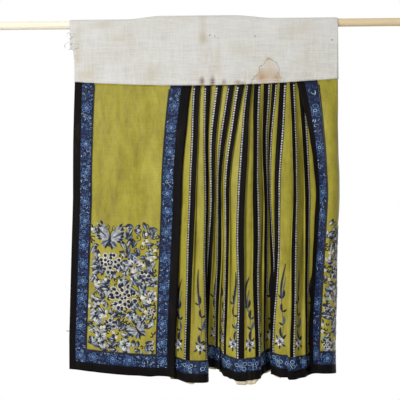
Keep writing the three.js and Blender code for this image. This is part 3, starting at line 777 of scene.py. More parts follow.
def dot_braid(threads, cloth, name):
    """Pale knots down the middle of a braid"""
    away, fold = cloth.column[f"{name}.away"], cloth.column[f"{name}.fold"]
    centre = away + (BRAID_COLUMNS if fold > away else -BRAID_COLUMNS) / 2 + (0.3 if fold > away else -0.3)
    reach = np.interp(centre, np.arange(len(cloth.reach)), cloth.reach)
    top = (cloth.points[0, away, 2] - cloth.hems[away]) / MM - 5
    for height in np.arange(BLACK_BAND + BLUE_BAND + 4, top, DOT_STEP):
        spine = [(reach, height + k * DOT_LONG / 2) for k in (-1, 0, 1)]
        threads.stroke(spine, (1.8, DOT_WIDE, 1.8), "white", rise=0.4, over=BRAID_LIFT)


STRIP_LIFT = 1.1
STRIP_THICK = 0.5


def pleated_side(cloth, prefix, side, gore_nodes, seed):
    """Gores, strips, braids and sprays. gore_nodes gives the solids that each gore stands for."""
    for i, (start, end) in enumerate(gore_ends(prefix)):
        block = [(start, end, 0, HEM_ROW)]
        gore = cloth_piece(f"gore_{side}_{i:02d}", cloth, block, green_silk, "silk", nodes=gore_nodes[i])
        declare(cloth, start, end, 0, HEM_ROW)
    knots = Threads(cloth)
    for i, name in enumerate(LEFT + RIGHT):
        name = prefix + name
        away, fold = f"{name}.away", f"{name}.fold"
        to_right = cloth.column[fold] > cloth.column[away]
        join = cloth.column[away] + (BRAID_COLUMNS if to_right else -BRAID_COLUMNS)
        satin_ends = (join, fold) if to_right else (fold, join)
        braid_ends = (away, join) if to_right else (join, away)
        satin = cloth_piece(
            f"satin_strip_{side}_{i + 1:02d}", cloth, [(*satin_ends, 0, HEM_TOP_ROW)],
            black_satin, "black_satin", lift=STRIP_LIFT, thick=STRIP_THICK,
            nodes=[f"{side}_strip_{i + 1:02d}"],
        )
        first, last = (away, fold) if to_right else (fold, away)
        upper, lower, length = cut_size(cloth, first, last, 0, HEM_TOP_ROW)
        cloth_piece(
            f"braid_{side}_{i + 1:02d}", cloth, [(*braid_ends, 0, HEM_TOP_ROW)], navy_braid, "blue_border",
            lift=BRAID_LIFT, thick=BRAID_THICK,
        )
        dot_braid(knots, cloth, name)
    knots.finish(f"braid_knots_{side}", silks, "blue_border")
    sprays = Threads(cloth, 0.5)
    for i, (start, end) in enumerate(gore_ends(prefix)):
        seen_from = start.rsplit(".", 1)[0] + ".tuckOut" if "L" in start else start
        seen_to = end.rsplit(".", 1)[0] + ".tuckIn" if "R" in end else end
        reach = (cloth.at(seen_from) + cloth.at(seen_to)) / 2
        spray(sprays, reach, SPRAY_LOW, SPRAY_HIGH + 14 * ((i * 5) % 3 - 1), seed + i)
    sprays.finish(f"sprays_{side}", silks, "silk")


front_pleats = Cloth(pleat_stations(), strip_parts, seed=1.0, wrinkled=1.5)
front_nodes = [("front_gore_00_upper", "front_gore_00_lower")]
front_nodes += [(f"front_gore_{i:02d}",) for i in range(1, 13)]
pleated_side(front_pleats, "", "front", front_nodes, 3)

# The hem bands of the first pleated side
#
# A woven blue border with a black cord above it, and a black satin binding below. They run across every gore
# and are pleated with them. A cream facing inside hangs a little lower in places.
NAVY = (16, 23, 46)
navy_weave = new_material("navy_weave", NAVY, 0.6, specular=0.2)
weft_tone = noise(navy_weave, place(navy_weave), 300, detail=4, roughness=0.7)
paint(navy_weave, ramp(navy_weave, weft_tone, [(0.36, (8, 11, 24)), (0.52, NAVY), (0.74, (24, 46, 92))]))
weave(navy_weave, 1200, 0.00015, 0.4)

CREAM = (206, 196, 172)
cream_cotton = new_material("cream_cotton", CREAM, 0.9)
worn = noise(cream_cotton, place(cream_cotton), 30)
paint(cream_cotton, ramp(cream_cotton, worn, [(0.35, (188, 172, 142)), (0.65, CREAM)]))
weave(cream_cotton, 1100, 0.0002, 0.4)

BAND_LIFT = 1.15
BAND_THICK = 0.6
PATTERN_REACH = BLUE_BAND / 2 * 0.94
CORD_HEIGHT = BLACK_BAND + BLUE_BAND + 0.8
CORD_STEP = 3.0
FACING_LIFT = -1.4
FACING_HEIGHT = 24
FACING_DROPS = {
    "L1.away": 1, "L1.fold": 4, "L1.foldBack": 4, "L1.tuckIn": 4, "L1.tuckOut": 2,
    "L3.away": 5, "L3.fold": 5, "L3.foldBack": 5, "L3.tuckIn": 5, "L3.tuckOut": 5, "L3.middle": 5,
    "L4.away": 3,
    "L6.away": 9, "L6.fold": 10, "L6.foldBack": 10, "L6.tuckIn": 10, "L6.tuckOut": 10, "L6.middle": 11,
    "R1.tuckIn": 11, "R1.tuckOut": 11, "R1.foldBack": 11, "R1.fold": 12,
    "R2.away": 4, "R3.middle": 5, "R4.away": 3, "R5.middle": 2,
}
FACING_HIDDEN = -3


SCROLL_STEP = 7.4
CLOSE_FLOWER = 9.6
SPREAD_FLOWER = 8.2
PETAL_RING = 0.44
PETAL_EYE = 0.1
FLOWER_EYE = 0.3
FLOWER_ROOM = 1.5
CURLED_SHARE = 0.66


def woven_border(threads, centre_line, half_width, start, end, seed, upright, scale=1.0, close=False):
    """Small five-petalled flowers along a border, with scrolls and leaves packed round them"""
    draw = random.Random(seed)

    def put(u, v):
        return (centre_line + v, u) if upright else (u, centre_line + v)

    reach = half_width - 0.6
    threads.within = put(start, -reach), put(end, reach)
    petals_out = (CLOSE_FLOWER if close else SPREAD_FLOWER) * scale
    flowers = []
    u = start + petals_out * draw.uniform(1.5, 3)
    while u < end - petals_out:
        flowers.append((u, draw.uniform(-0.12, 0.12) * half_width))
        u += petals_out * (draw.uniform(3.2, 5) if close else draw.uniform(5, 11))
    for u, v in flowers:
        turn = draw.uniform(0, 1.2)
        for k in range(5):
            a = turn + 2 * math.pi * k / 5
            at = put(u + petals_out * math.cos(a), v + petals_out * math.sin(a))
            threads.ring(at, petals_out * PETAL_RING, 1.3, "ice" if close and k % 2 == 0 else "sky", rise=0.3)
            threads.ring(at, petals_out * PETAL_EYE, 1.2, "royal", rise=0.3)
        threads.ring(put(u, v), petals_out * FLOWER_EYE, 1.3, "ice", rise=0.3)
    step = SCROLL_STEP * scale**0.6
    across = round(2 * half_width / step)
    for u in np.arange(start + 4, end - 3, step):
        for j in range(across):
            v = half_width * ((2 * j + 1) / across - 1)
            spot = (u + draw.uniform(-2.2, 2.2), v + draw.uniform(-1.5, 1.5))
            room = petals_out * FLOWER_ROOM
            if any(math.hypot(spot[0] - fu, spot[1] - fv) < room for fu, fv in flowers):
                continue
            colour = draw.choice(("royal", "royal", "royal" if close or scale > 1 else "sky", "sky", "ice"))
            way = draw.uniform(0, 2 * math.pi)
            thick = draw.uniform(1.3, 2.2) if colour == "royal" else draw.uniform(0.9, 1.4)
            if draw.random() < CURLED_SHARE:
                turns = draw.uniform(0.6, 1.2)
                threads.curl(put(*spot), scale * draw.uniform(3.2, 4.8), turns, way, colour, thick, rise=0.3)
            else:
                long = scale * draw.uniform(5, 9)
                threads.petal(put(*spot), way, long, thick * 1.6, colour, bend=draw.uniform(-2, 2), rise=0.3)
    threads.within = None


def cord(threads, points):
    """A dark cord laid along the edge of a border"""
    threads.stroke(points, 2.6, "umber", rise=1.0)


def hem_bands(cloth, prefix, side):
    start, end = f"{prefix}L0.foldBack", f"{prefix}R7.foldBack"
    for kind, material, slot, top, bottom in (
        ("blue", navy_weave, "blue_border", HEM_TOP_ROW, HEM_MIDDLE_ROW),
        ("black", black_satin, "black_satin", HEM_MIDDLE_ROW, HEM_ROW),
    ):
        band = cloth_piece(
            f"hem_band_{kind}_{side}", cloth, [(start, end, top, bottom)], material, slot,
            lift=BAND_LIFT, thick=BAND_THICK, nodes=[f"{side}_hem_{kind}"],
        )
        tall = cut_size(cloth, start, end, top, bottom)[2]
        wide = cloth.width(start, end, bottom)
    pattern = Threads(cloth, BAND_LIFT + 0.3)
    middle = BLACK_BAND + BLUE_BAND / 2
    first, last = cloth.at(start), cloth.at(end)
    woven_border(pattern, middle, PATTERN_REACH, first, last, len(prefix) + 5, False, close=True)
    along_cord = np.arange(first, last, CORD_STEP)
    cord(pattern, np.stack([along_cord, np.full(len(along_cord), CORD_HEIGHT)], axis=1))
    pattern.finish(f"border_pattern_hem_{side}", silks, "blue_border")


hem_bands(front_pleats, "", "front")


def facing_points(cloth, start, end):
    """The facing's own grid: it lies behind the hem and ends a little below or above it"""
    a, b = cloth.column[start], cloth.column[end]
    known = {column: FACING_HIDDEN for column in cloth.column.values()}
    known.update({cloth.column[name]: drop for name, drop in FACING_DROPS.items()})
    at = sorted(known)
    columns = np.arange(a, b + 1).astype(float)
    drops = np.interp(columns, at, [known[k] for k in at])
    rows = []
    for share in np.linspace(0, 1, 6):
        heights = mix(np.full(len(columns), float(FACING_HEIGHT)), -drops, share)
        inside = cloth.spot(columns, np.maximum(heights, 0), np.full(len(columns), FACING_LIFT))
        inside[:, 2] += np.minimum(heights, 0) * MM
        rows.append(inside)
    return np.stack(rows)


facing_grid = facing_points(front_pleats, "L0.tuckIn", "R7.tuckOut")
facing_rows, facing_columns = facing_grid.shape[:2]
facing_faces = []
for r in range(facing_rows - 1):
    for c in range(facing_columns - 1):
        n = r * facing_columns + c
        facing_faces.append((n, n + facing_columns, n + facing_columns + 1, n + 1))
facing = new_piece("hem_facing", facing_grid.reshape(-1, 3), facing_faces, cream_cotton, "lining")
facing_solid = facing.modifiers.new("thickness", "SOLIDIFY")
facing_solid.thickness = BAND_THICK * MM
facing_solid.offset = 0
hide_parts("front_hem_lining")

# The flat front panel
#
# A plain length of the same silk, kept flat. A woven blue border and a black satin binding run down both
# sides and along the hem, with a black cord inside them. Its folded edge turns under as the first pleat does.
PANEL_COLUMNS = "name seamX seamD middleX middleD hemX hemD hem"
FRONT_PANEL = table(
    PANEL_COLUMNS,
    ("edge", -312, 8, -319, 10, -331.5, 13, -855),
    ("blackBlue", -294.5, 8, -301.5, 11, -316.5, 15, -856),
    ("blueGreen", -264, 8, -274, 12, -289.5, 18, -860),
    ("left", -210, 8, -222, 13, -238, 20, -866),
    ("middle", -160, 8, -175, 13, -190, 20, -871),
    ("trough", -120, 8, -138, 11, -152, 17, -873),
    ("ridge", -100, 8, -118, 13, -132, 21, -875),
    ("greenBlue", -75, 8.5, -98.5, 14, -115.5, 22, -873),
    ("blueBlack", -46, 9, -70, 17, -88, 25, -874),
)
TRIM_LIFT = 1.15
TRIM_THICK = 0.5
UP_TO_SEAM = 712
DENSE_STRETCHES = "left middle blueGreen blackBlue greenBlue ridge trough front1 back1 back2".split()
DENSE_PARTS = tuple(np.arange(10) / 10)


def panel_stations(rows, prefix):
    line = []
    for row in rows:
        axes = [between(row["seam" + a], row["middle" + a], row["hem" + a], row_stages) for a in "XD"]
        line.append((f"{prefix}.{row['name']}", np.stack(axes, axis=1), row["hem"]))
    return line


def panel_parts(a, b):
    return DENSE_PARTS if a.split(".")[1] in DENSE_STRETCHES else STRETCH_PARTS


def bordered_panel(name, cloth, ends, borders, nodes):
    """The ground of a flat panel with its blue border and black binding"""
    (start, end), (black_left, left, inner_left, inner_right, right, black_right) = ends, borders
    block = [(start, end, 0, HEM_ROW)]
    ground = cloth_piece(f"{name}_ground", cloth, block, green_silk, "silk", nodes=[nodes[0]])
    declare(cloth, start, end, 0, HEM_ROW)
    if left:
        uprights = [(left, inner_left, 0, HEM_MIDDLE_ROW), (inner_right, right, 0, HEM_MIDDLE_ROW)]
        blue = cloth_piece(
            f"{name}_blue_border", cloth, [*uprights, (left, right, HEM_TOP_ROW, HEM_MIDDLE_ROW)],
            navy_weave, "blue_border", lift=TRIM_LIFT, thick=TRIM_THICK, nodes=[nodes[1]],
        )
        wide = (cloth.width(left, inner_left, HEM_TOP_ROW) + cloth.width(inner_right, right, HEM_TOP_ROW)) / 2
        tall = 2 * cut_size(cloth, left, inner_left, 0, HEM_TOP_ROW)[2]
        tall += cloth.width(left, right, HEM_TOP_ROW)
    left, right = left or inner_left, right or inner_right
    uprights = [(black_left, left, 0, HEM_ROW), (right, black_right, 0, HEM_ROW)]
    black = cloth_piece(
        f"{name}_black_binding", cloth, [*uprights, (black_left, black_right, HEM_MIDDLE_ROW, HEM_ROW)],
        black_satin, "black_satin", lift=TRIM_LIFT, thick=TRIM_THICK, nodes=[nodes[-1]],
    )
    wide = (cloth.width(black_left, left, HEM_TOP_ROW) + cloth.width(right, black_right, HEM_TOP_ROW)) / 2
    low_length = cloth.width(left, right, HEM_ROW) * BLACK_BAND * MM / wide
    tall = 2 * cut_size(cloth, black_left, left, 0, HEM_ROW)[2] + low_length


def trim_panel(name, cloth, left, inner_left, inner_right, right, seed, scale=1.0):
    """The woven pattern of a panel's blue border, and the cord along its inner edge"""
    trim = Threads(cloth, TRIM_LIFT + 0.25)
    for k, (a, b) in enumerate(((left, inner_left), (inner_right, right))):
        middle, half = (cloth.at(a) + cloth.at(b)) / 2, (cloth.at(b) - cloth.at(a)) / 2
        woven_border(trim, middle, half * 0.95, BLACK_BAND, UP_TO_SEAM, seed + k, True, scale)
        inner = cloth.at(b) + 1 if k == 0 else cloth.at(a) - 1
        heights = np.arange(BLACK_BAND + BLUE_BAND, UP_TO_SEAM + 4, 8.0)
        cord(trim, np.stack([np.full(len(heights), inner), heights], axis=1))
    centre = BLACK_BAND + BLUE_BAND / 2
    ends = cloth.at(inner_left), cloth.at(inner_right)
    woven_border(trim, centre, PATTERN_REACH, *ends, seed + 2, False)
    along = np.linspace(*ends, 50)
    cord(trim, np.stack([along, np.full(50, CORD_HEIGHT)], axis=1))
    trim.finish(f"border_pattern_{name}", silks, "blue_border")


pleat_line = pleat_stations()
front_stations = panel_stations(FRONT_PANEL, "front") + pleat_line[1:4]
front_panel = Cloth(front_stations, panel_parts, seed=2.3, wrinkled=1.2)
bordered_panel(
    "front_panel", front_panel, ("front.edge", "L0.foldBack"),
    ("front.edge", "front.blackBlue", "front.blueGreen", "front.greenBlue", "front.blueBlack", "L0.foldBack"),
    ("front_panel", "front_panel_blue", "front_panel_black"),
)
trim_panel(
    "front_panel", front_panel,
    "front.blackBlue", "front.blueGreen", "front.greenBlue", "front.blueBlack", 7,
)

# The embroidery of a flat panel
#
# Satin stitch in twisted silk over the lower part of the panel: butterflies, chrysanthemums, plum blossoms
# and leaves, set close. Each motif has its place across and up the field, its angle and its size.
FIELD_WIDE = 174
FIELD_HIGH = 318
FILL_STEP = 10
FILL_LEAVES = 0.5
FILL_CURLS = 0.82
LEAF_TONES = (("slate", "lavender"), ("lavender", "white"), ("mint", "pearl"), ("slate", "pearl"))
PETAL_WIDE = 12.5
PETAL_ROWS_APART = 0.35
MOTIF_ROOM = 0.8
MOTIFS = table(
    "kind u v angle size",
    ("butterfly", 48, 272, 1.5, 52),
    ("cloud", 130, 276, 0, 42),
    ("chrysanthemum", 52, 216, 0.2, 28),
    ("open", 114, 216, 0.4, 20),
    ("plum", 140, 190, 0.1, 18),
    ("fruit", 20, 166, 0, 9),
    ("chrysanthemum", 88, 136, 0.5, 36),
    ("open", 150, 140, 0.9, 18),
    ("plum", 160, 102, 0.3, 11),
    ("open", 24, 82, 0.2, 17),
    ("plum", 58, 66, 0.6, 16),
    ("butterfly", 130, 52, 2.2, 40),
    ("open", 34, 34, 0.5, 15),
    ("fan", 12, 12, 0.8, 20),
    ("open", 96, 18, 0.3, 15),
    ("plum", 158, 14, 0.0, 11),
    ("fan", 104, 246, 4.9, 18),
    ("fruit", 158, 236, 0, 9),
    ("fan", 22, 196, 0.4, 16),
)


def outlined(threads, foot, angle, length, width):
    """A navy petal edged with white"""
    way = np.array([math.cos(angle), math.sin(angle)])
    threads.petal(foot, angle, length, width, "white", shape=(0.5, 0.9, 1, 0.9, 0.5))
    shape = (0.4, 0.9, 1, 0.85, 0.35)
    inner = foot + way * length * 0.16
    threads.petal(inner, angle, length * 0.68, width * 0.66, "navy", shape=shape, over=0.6)


def leaf(threads, foot, angle, length, colours, bend):
    """A leaf in two tones with a dark tip"""
    threads.petal(foot, angle, length * 1.12, length * 0.66, "navy", bend=bend, rise=0.3)
    threads.petal(foot, angle, length, length * 0.44, colours[0], bend=bend, over=0.3)
    threads.petal(foot, angle + 0.14, length * 0.72, length * 0.2, colours[1], bend=bend, over=0.7, rise=0.3)
    outward = np.array([math.cos(angle + bend / 4), math.sin(angle + bend / 4)])
    half_way = np.asarray(foot) + length * 0.5 * outward
    tip_at = angle + bend * 0.6
    shape = (0.1, 0.8, 1, 0.7, 0.1)
    threads.petal(half_way, tip_at, length * 0.55, length * 0.3, "navy", over=0.6, rise=0.4, shape=shape)


def motif(threads, kind, at, angle, size, hand):
    at = np.asarray(at)

    def toward(a, reach=1.0):
        return at + size * reach * np.array([math.cos(a), math.sin(a)])

    if kind == "chrysanthemum":
        outer = 1.0
        while outer > 0.25:
            long = 0.43 * min(1, outer + 0.25)
            count = max(4, round(2 * math.pi * (outer - long / 2) * size / PETAL_WIDE))
            for k in range(count):
                a = angle + outer * 2 + 2 * math.pi * k / count + 0.12 * math.sin(k * 2.3)
                reach = outer + 0.06 * math.sin(k * 1.7 + angle)
                wide = PETAL_WIDE + 1.5 * math.sin(k * 3.1)
                outlined(threads, toward(a, reach - long), a, size * long, wide)
            outer -= PETAL_ROWS_APART
    elif kind == "plum":
        for k in range(6):
            a = angle + k * math.pi / 3
            outlined(threads, toward(a, 0.22), a, size * 0.78, size * 0.62)
        threads.ring(at, size * 0.12, size * 0.2, "lavender", over=0.4)
    elif kind == "open":
        blossom(threads, at, size, 6, ("white", "lavender", "white", "mint"), turn=angle)
    elif kind == "fruit":
        for a in (0.4, 2.5, 4.4):
            threads.ring(toward(a, 0.6), size * 0.24, size * 0.5, "white")
            threads.curl(toward(a, 1.1), size * 0.5, 0.8, a, "navy", 1.6, hand)
    elif kind == "fan":
        for k, spread in enumerate((-1.0, -0.5, 0, 0.5, 1.0)):
            a = angle + spread
            colour = ("slate", "lavender")[k % 2]
            threads.petal(at, a, size, size * 0.42, colour, shape=(0.15, 0.5, 0.9, 1, 0.6))
            threads.petal(toward(a, 0.75), a, size * 0.32, size * 0.3, "navy", over=0.5)
    elif kind == "cloud":
        for k in range(12):
            a = angle + k * 2.4
            reach = 0.22 + 0.065 * k
            threads.curl(toward(a, reach), size * 0.2, 1.15, a + 2, "navy", 2.8, 1 if k % 2 else -1)
            tones = ("slate", "lavender")
            leaf(threads, toward(a + 0.9, reach), a + hand * 1.3, size * 0.42, tones, hand * 0.6)
            if k % 3 == 0:
                threads.ring(toward(a - 0.8, reach * 0.8), 2.2, 4.6, "white", over=0.3)
    else:
        for side in (-1, 1):
            for k in range(6):
                a = angle + side * (0.42 + 0.2 * k)
                long = size * (1.0 - 0.09 * k)
                colour = ("lavender", "pearl", "slate", "pearl")[k % 4]
                over = 0.1 * (k % 2)
                threads.petal(toward(a, 0.1), a, long, size * 0.17, colour, bend=side * 0.25, over=over)
                tip = toward(a + side * 0.1, 0.82 - 0.09 * k)
                threads.petal(tip, a + side * 0.2, size * 0.2, size * 0.12, "navy", over=0.6)
            for k in range(3):
                a = angle + side * (1.9 + 0.3 * k)
                colour = ("slate", "lavender", "navy")[k]
                threads.petal(at, a, size * 0.46, size * 0.16, colour, bend=side * 0.4)
            threads.curl(toward(angle + side * 0.3, 0.62), size * 0.14, 1.1, angle, "navy", 2.0, -side)
            threads.curl(toward(angle + side * 0.75, 0.36), size * 0.08, 1.0, angle, "navy", 2.0, side)
            neck = [toward(angle, 0.2), toward(angle + side * 0.1, 0.4), toward(angle + side * 0.2, 0.55)]
            threads.stroke(flowing(neck), 1.6, "navy", over=0.5)
        threads.petal(toward(angle + math.pi, 0.3), angle, size * 0.6, size * 0.14, "navy", over=0.8)


def embroider(name, cloth, left, right, seed, mirrored):
    """A field of motifs between a panel's borders, with small leaves, curls and knots in the gaps"""
    threads = Threads(cloth, 0.5)
    draw = random.Random(seed)
    start, wide = cloth.at(left) + 2, cloth.at(right) - cloth.at(left) - 4
    low = BLACK_BAND + BLUE_BAND + 3
    hand = -1 if mirrored else 1
    taken = []
    for m in MOTIFS:
        u = m["u"] / FIELD_WIDE * wide
        angle = math.pi - m["angle"] if mirrored else m["angle"]
        at = (start + (wide - u if mirrored else u), low + m["v"])
        motif(threads, m["kind"], at, angle, m["size"], hand)
        taken.append((*at, m["size"]))
    for v in np.arange(5, FIELD_HIGH - 6, FILL_STEP):
        for u in np.arange(4, wide - 2, FILL_STEP):
            at = np.array([start + u + draw.uniform(-3, 3), low + v + draw.uniform(-3, 3)])
            if not start + 2 < at[0] < start + wide - 2:
                continue
            if any(math.hypot(at[0] - x, at[1] - y) < size * MOTIF_ROOM for x, y, size in taken):
                continue
            kind = draw.random()
            way = draw.uniform(0, 2 * math.pi)
            inward = math.pi if at[0] > start + wide - 14 else 0
            if at[0] < start + 14 or inward:
                way = inward + draw.uniform(-1.2, 1.2)
            if kind < FILL_LEAVES:
                tones = draw.choice(LEAF_TONES)
                leaf(threads, at, way, draw.uniform(14, 22), tones, draw.uniform(-0.9, 0.9))
            elif kind < FILL_CURLS:
                radius, turns = draw.uniform(4.5, 7.5), draw.uniform(0.5, 0.9)
                threads.curl(at, radius, turns, way, "navy", draw.uniform(3.2, 4.4), hand)
            else:
                colour = draw.choice(("white", "pearl", "pearl", "white", "mint"))
                threads.petal(at, way, 14, 4.0, "navy", bend=0.9)
                threads.ring(at, 2.2, 4.4, colour, over=0.3)
    threads.finish(f"embroidery_{name}", silks, "silk")


embroider("front_panel", front_panel, "front.blueGreen", "front.greenBlue", 21, False)

# The second flat panel
#
# A length of the green silk, bordered and embroidered as the first is, and joined between the two pleated
# sides. It is folded round the right edge of the hung skirt, and its far half lies behind.
SIDE_PANEL = table(
    PANEL_COLUMNS,
    ("blackBlue", 256.5, 12, 290.5, 28, 269.5, 37, -866),
    ("blueGreen", 289, 9.5, 307, 41, 282, 53, -866),
    ("front1", 312, 8.5, 322, 41, 298, 51, -867),
    ("front2", 330, 8, 333, 32, 314, 42, -868),
    ("turn1", 338.5, 6, 339, 20, 323.5, 26, -870),
    ("turn2", 341.5, 2.5, 341, 7, 328, 9, -871),
    ("turn3", 341.5, -2.5, 341, -7, 328, -9, -871),
    ("turn4", 338.5, -6, 339, -20, 323.5, -25, -871),
    ("back1", 325, -8, 330, -31, 311, -36, -870),
    ("back2", 290, -8.5, 300, -33, 285, -38, -868),
    ("greenBlue", 232, -8.5, 236, -27, 244, -35, -864),
    ("blueBlack", 204, -8.5, 208, -22, 216, -31, -862),
)
BACK_START = (186, 190, 198)
BACK_STRETCH = 1.075
BACK_HEM = -858


def back_stations():
    """The second pleated side is the same work, seen from behind"""
    start = between(*BACK_START, row_stages)
    line = pleat_line[1:]
    first = line[0][1][:, 0]
    stations = []
    for name, points, _ in line:
        across = start - (points[:, 0] - first) * BACK_STRETCH
        stations.append((f"back.{name}", np.stack([across, -points[:, 1]], axis=1), BACK_HEM))
    return stations


back_line = back_stations()
side_stations = pleat_line[-4:-1] + panel_stations(SIDE_PANEL, "side") + back_line[:3]
side_panel = Cloth(side_stations, panel_parts, seed=4.1, wrinkled=2.0)
bordered_panel(
    "side_panel", side_panel, ("R7.foldBack", "back.L0.foldBack"),
    (
        "R7.foldBack", "side.blackBlue", "side.blueGreen",
        "side.greenBlue", "side.blueBlack", "back.L0.foldBack",
    ),
    ("side_panel", "side_panel_blue", "side_panel_black"),
)
trim_panel(
    "side_panel", side_panel,
    "side.blackBlue", "side.blueGreen", "side.greenBlue", "side.blueBlack", 17, 1.4,
)
embroider("side_panel", side_panel, "side.blueGreen", "side.greenBlue", 22, True)

# The second pleated side
#
# Thirteen more gores of the same silk, with the same strips, braids and hem bands, sewn and pleated in the
# same way. It hangs behind the first and faces the other way.
BACK_GROUPS = (1, 1, 2, 2, 3, 3, 3, 4, 4, 5, 5, 5, 5)
back_pleats = Cloth(back_line, lambda a, b: strip_parts(a[5:], b[5:]), seed=6.4, wrinkled=0.8)
back_nodes = [
    (f"back_gores_{group}",) if BACK_GROUPS.index(group) == i else () for i, group in enumerate(BACK_GROUPS)
]
pleated_side(back_pleats, "back.", "back", back_nodes, 40)
hem_bands(back_pleats, "back.", "back")

# The underlap
#
# A plain panel of the green silk at the other end of the wrap, with a black satin binding. When the skirt is
# worn it lies hidden under the first panel, so it has no blue border and no embroidery.
UNDERLAP = table(
    PANEL_COLUMNS,
    ("blackGreen", -115, -12, -184, -19, -175, -27, -858),
    ("right", -160, -9, -220, -20, -215, -25, -858),
    ("middle", -205, -8.5, -255, -17, -255, -22, -857),
    ("left", -255, -8.5, -285, -13, -292, -17, -856),
    ("greenBlack", -292, -8.5, -299, -11, -311, -14, -855),
    ("edge", -309.5, -8, -316.5, -10, -328.5, -13, -855),
)
underlap = Cloth(back_line[-3:] + panel_stations(UNDERLAP, "under"), panel_parts, seed=8.2, wrinkled=0.9)
bordered_panel(
    "underlap", underlap, ("back.R7.foldBack", "under.edge"),
    ("back.R7.foldBack", None, "under.blackGreen", "under.greenBlack", None, "under.edge"),
    ("underlap", "underlap_black"),
)

# The waistband
#
# One length of undyed cotton in plain weave, doubled at the right edge with the skirt. It is passed over the
# rod and its free edge hangs behind as a flap. Age and wear have stained it.
BAND_AXIS = 12
BAND_APART = 0.8
BAND_FLARE = 7.6
FLAP_BACK = 4.8
BAND_SLACK = {"height": 8, "left": -185, "leftFull": -95, "rightFull": 80, "right": 190}
BAND_TOP_END = -325
BAND_FOOT_END = -313
FLAP_FOOT = -62
ARCH_END = 222.5
BAND_FACE_ROWS = 34
BAND_HALF_COLUMNS = 120


def smooth(t):
    t = np.clip(t, 0, 1)
    return t * t * (3 - 2 * t)


def band_slack(x):
    s = BAND_SLACK
    rise = smooth((x - s["left"]) / (s["leftFull"] - s["left"]))
    return s["height"] * rise * smooth((s["right"] - x) / (s["right"] - s["rightFull"]))


def band_spread(z):
    return BAND_APART + BAND_FLARE * np.clip(z / SEAM_HEIGHT, 0, 1) ** 1.6


def band_crease(x, z):
    """Soft upright gathers near the seam, and a few slanting pulls below the rod"""
    low = smooth((-z - 30) / 60)
    gathers = np.sin(x * 0.085 + 1.2 * np.sin(x * 0.023)) * 0.7 + np.sin(x * 0.21 + z * 0.02) * 0.25
    pulls = np.sin(x * 0.035 - z * 0.045 + 1.4) * 0.55 + np.sin(x * 0.05 + z * 0.06) * 0.3
    return low * (gathers * np.clip(-z / 156, 0, 1) + pulls * smooth((150 + z) / 50))


def band_grid():
    corner_x = HALF_WIDTH
    face = [("face", t) for t in np.linspace(0, 1, BAND_FACE_ROWS)]
    arch = [("arch", a) for a in np.linspace(ARCH_END, 0, 28)]
    flap = [("flap", z) for z in np.linspace(FLAP_FOOT, -20, 8)]
    sides = [("side", 1, u) for u in np.linspace(0, 1, BAND_HALF_COLUMNS)]
    turn = [("turn", a, 0) for a in np.linspace(90, -90, 13)[1:-1]]
    back = [("side", -1, u) for u in np.linspace(1, 0, BAND_HALF_COLUMNS)]
    columns = sides + turn + back
    grid = np.zeros((len(flap) + len(arch) + len(face), len(columns), 3))
    for r, (kind, value) in enumerate(flap + arch + face):
        for c, (what, side, u) in enumerate(columns):
            z = 0 if kind != "face" else mix(-1, SEAM_HEIGHT, value)
            spread = float(band_spread(z))
            if what == "side":
                left = mix(BAND_TOP_END, BAND_FOOT_END, min(1, max(0, z / -100)))
                x = mix(left, corner_x - spread, u)
                reach = side * spread
            else:
                a = math.radians(side)
                x = corner_x - spread + spread * math.cos(a)
                reach = spread * math.sin(a)
            if kind == "arch":
                a = math.radians(value)
                rise = 0 if value > 180 else float(band_slack(x))
                grid[r, c] = (x, -(BAND_AXIS + reach) * math.cos(a), (BAND_AXIS + rise + reach) * math.sin(a))
            elif kind == "flap":
                grid[r, c] = (x, -(BAND_AXIS - FLAP_BACK - reach), value)
            else:
                foot = SEAM_HEIGHT + SEAM_RISE * (x / HALF_WIDTH) ** 2 + 0.2
                height = mix(-1, foot, value)
                grid[r, c] = (x, -(BAND_AXIS + reach + float(band_crease(x, height))), height)
    return grid * MM, len(flap) + len(arch)


class Band(Cloth):
    """A part of the waistband as a grid that threadwork can lie on"""

    def __init__(self, points):
        self.points = points
        self.out = self._normals(points)
        self.hems = points[-1, :, 2]
        self.column = {}
        across = np.linalg.norm(np.diff(points[-1], axis=0), axis=1)
        self.reach = np.concatenate([[0], np.cumsum(across)]) / MM


COTTON = (188, 186, 180)
PALE_COTTON = (216, 216, 212)
band_cotton = new_material("band_cotton", COTTON, 0.88, sheen=0.1)
aged = noise(band_cotton, place(band_cotton), 9, detail=6, roughness=0.65)
band_colour = ramp(band_cotton, aged, [(0.32, (180, 174, 160)), (0.52, COTTON), (0.72, (198, 197, 192))])
for scale, share in (((0.06, 1, 1), 0.55), ((1, 1, 0.06), 0.45)):
    streak = noise(band_cotton, place(band_cotton, scale), 300, detail=4, roughness=0.8)
    pale = combined(band_cotton, "MULTIPLY", ranged(band_cotton, streak, 0.38, 0.68), share)
    band_colour = blended(band_cotton, pale, band_colour, PALE_COTTON)
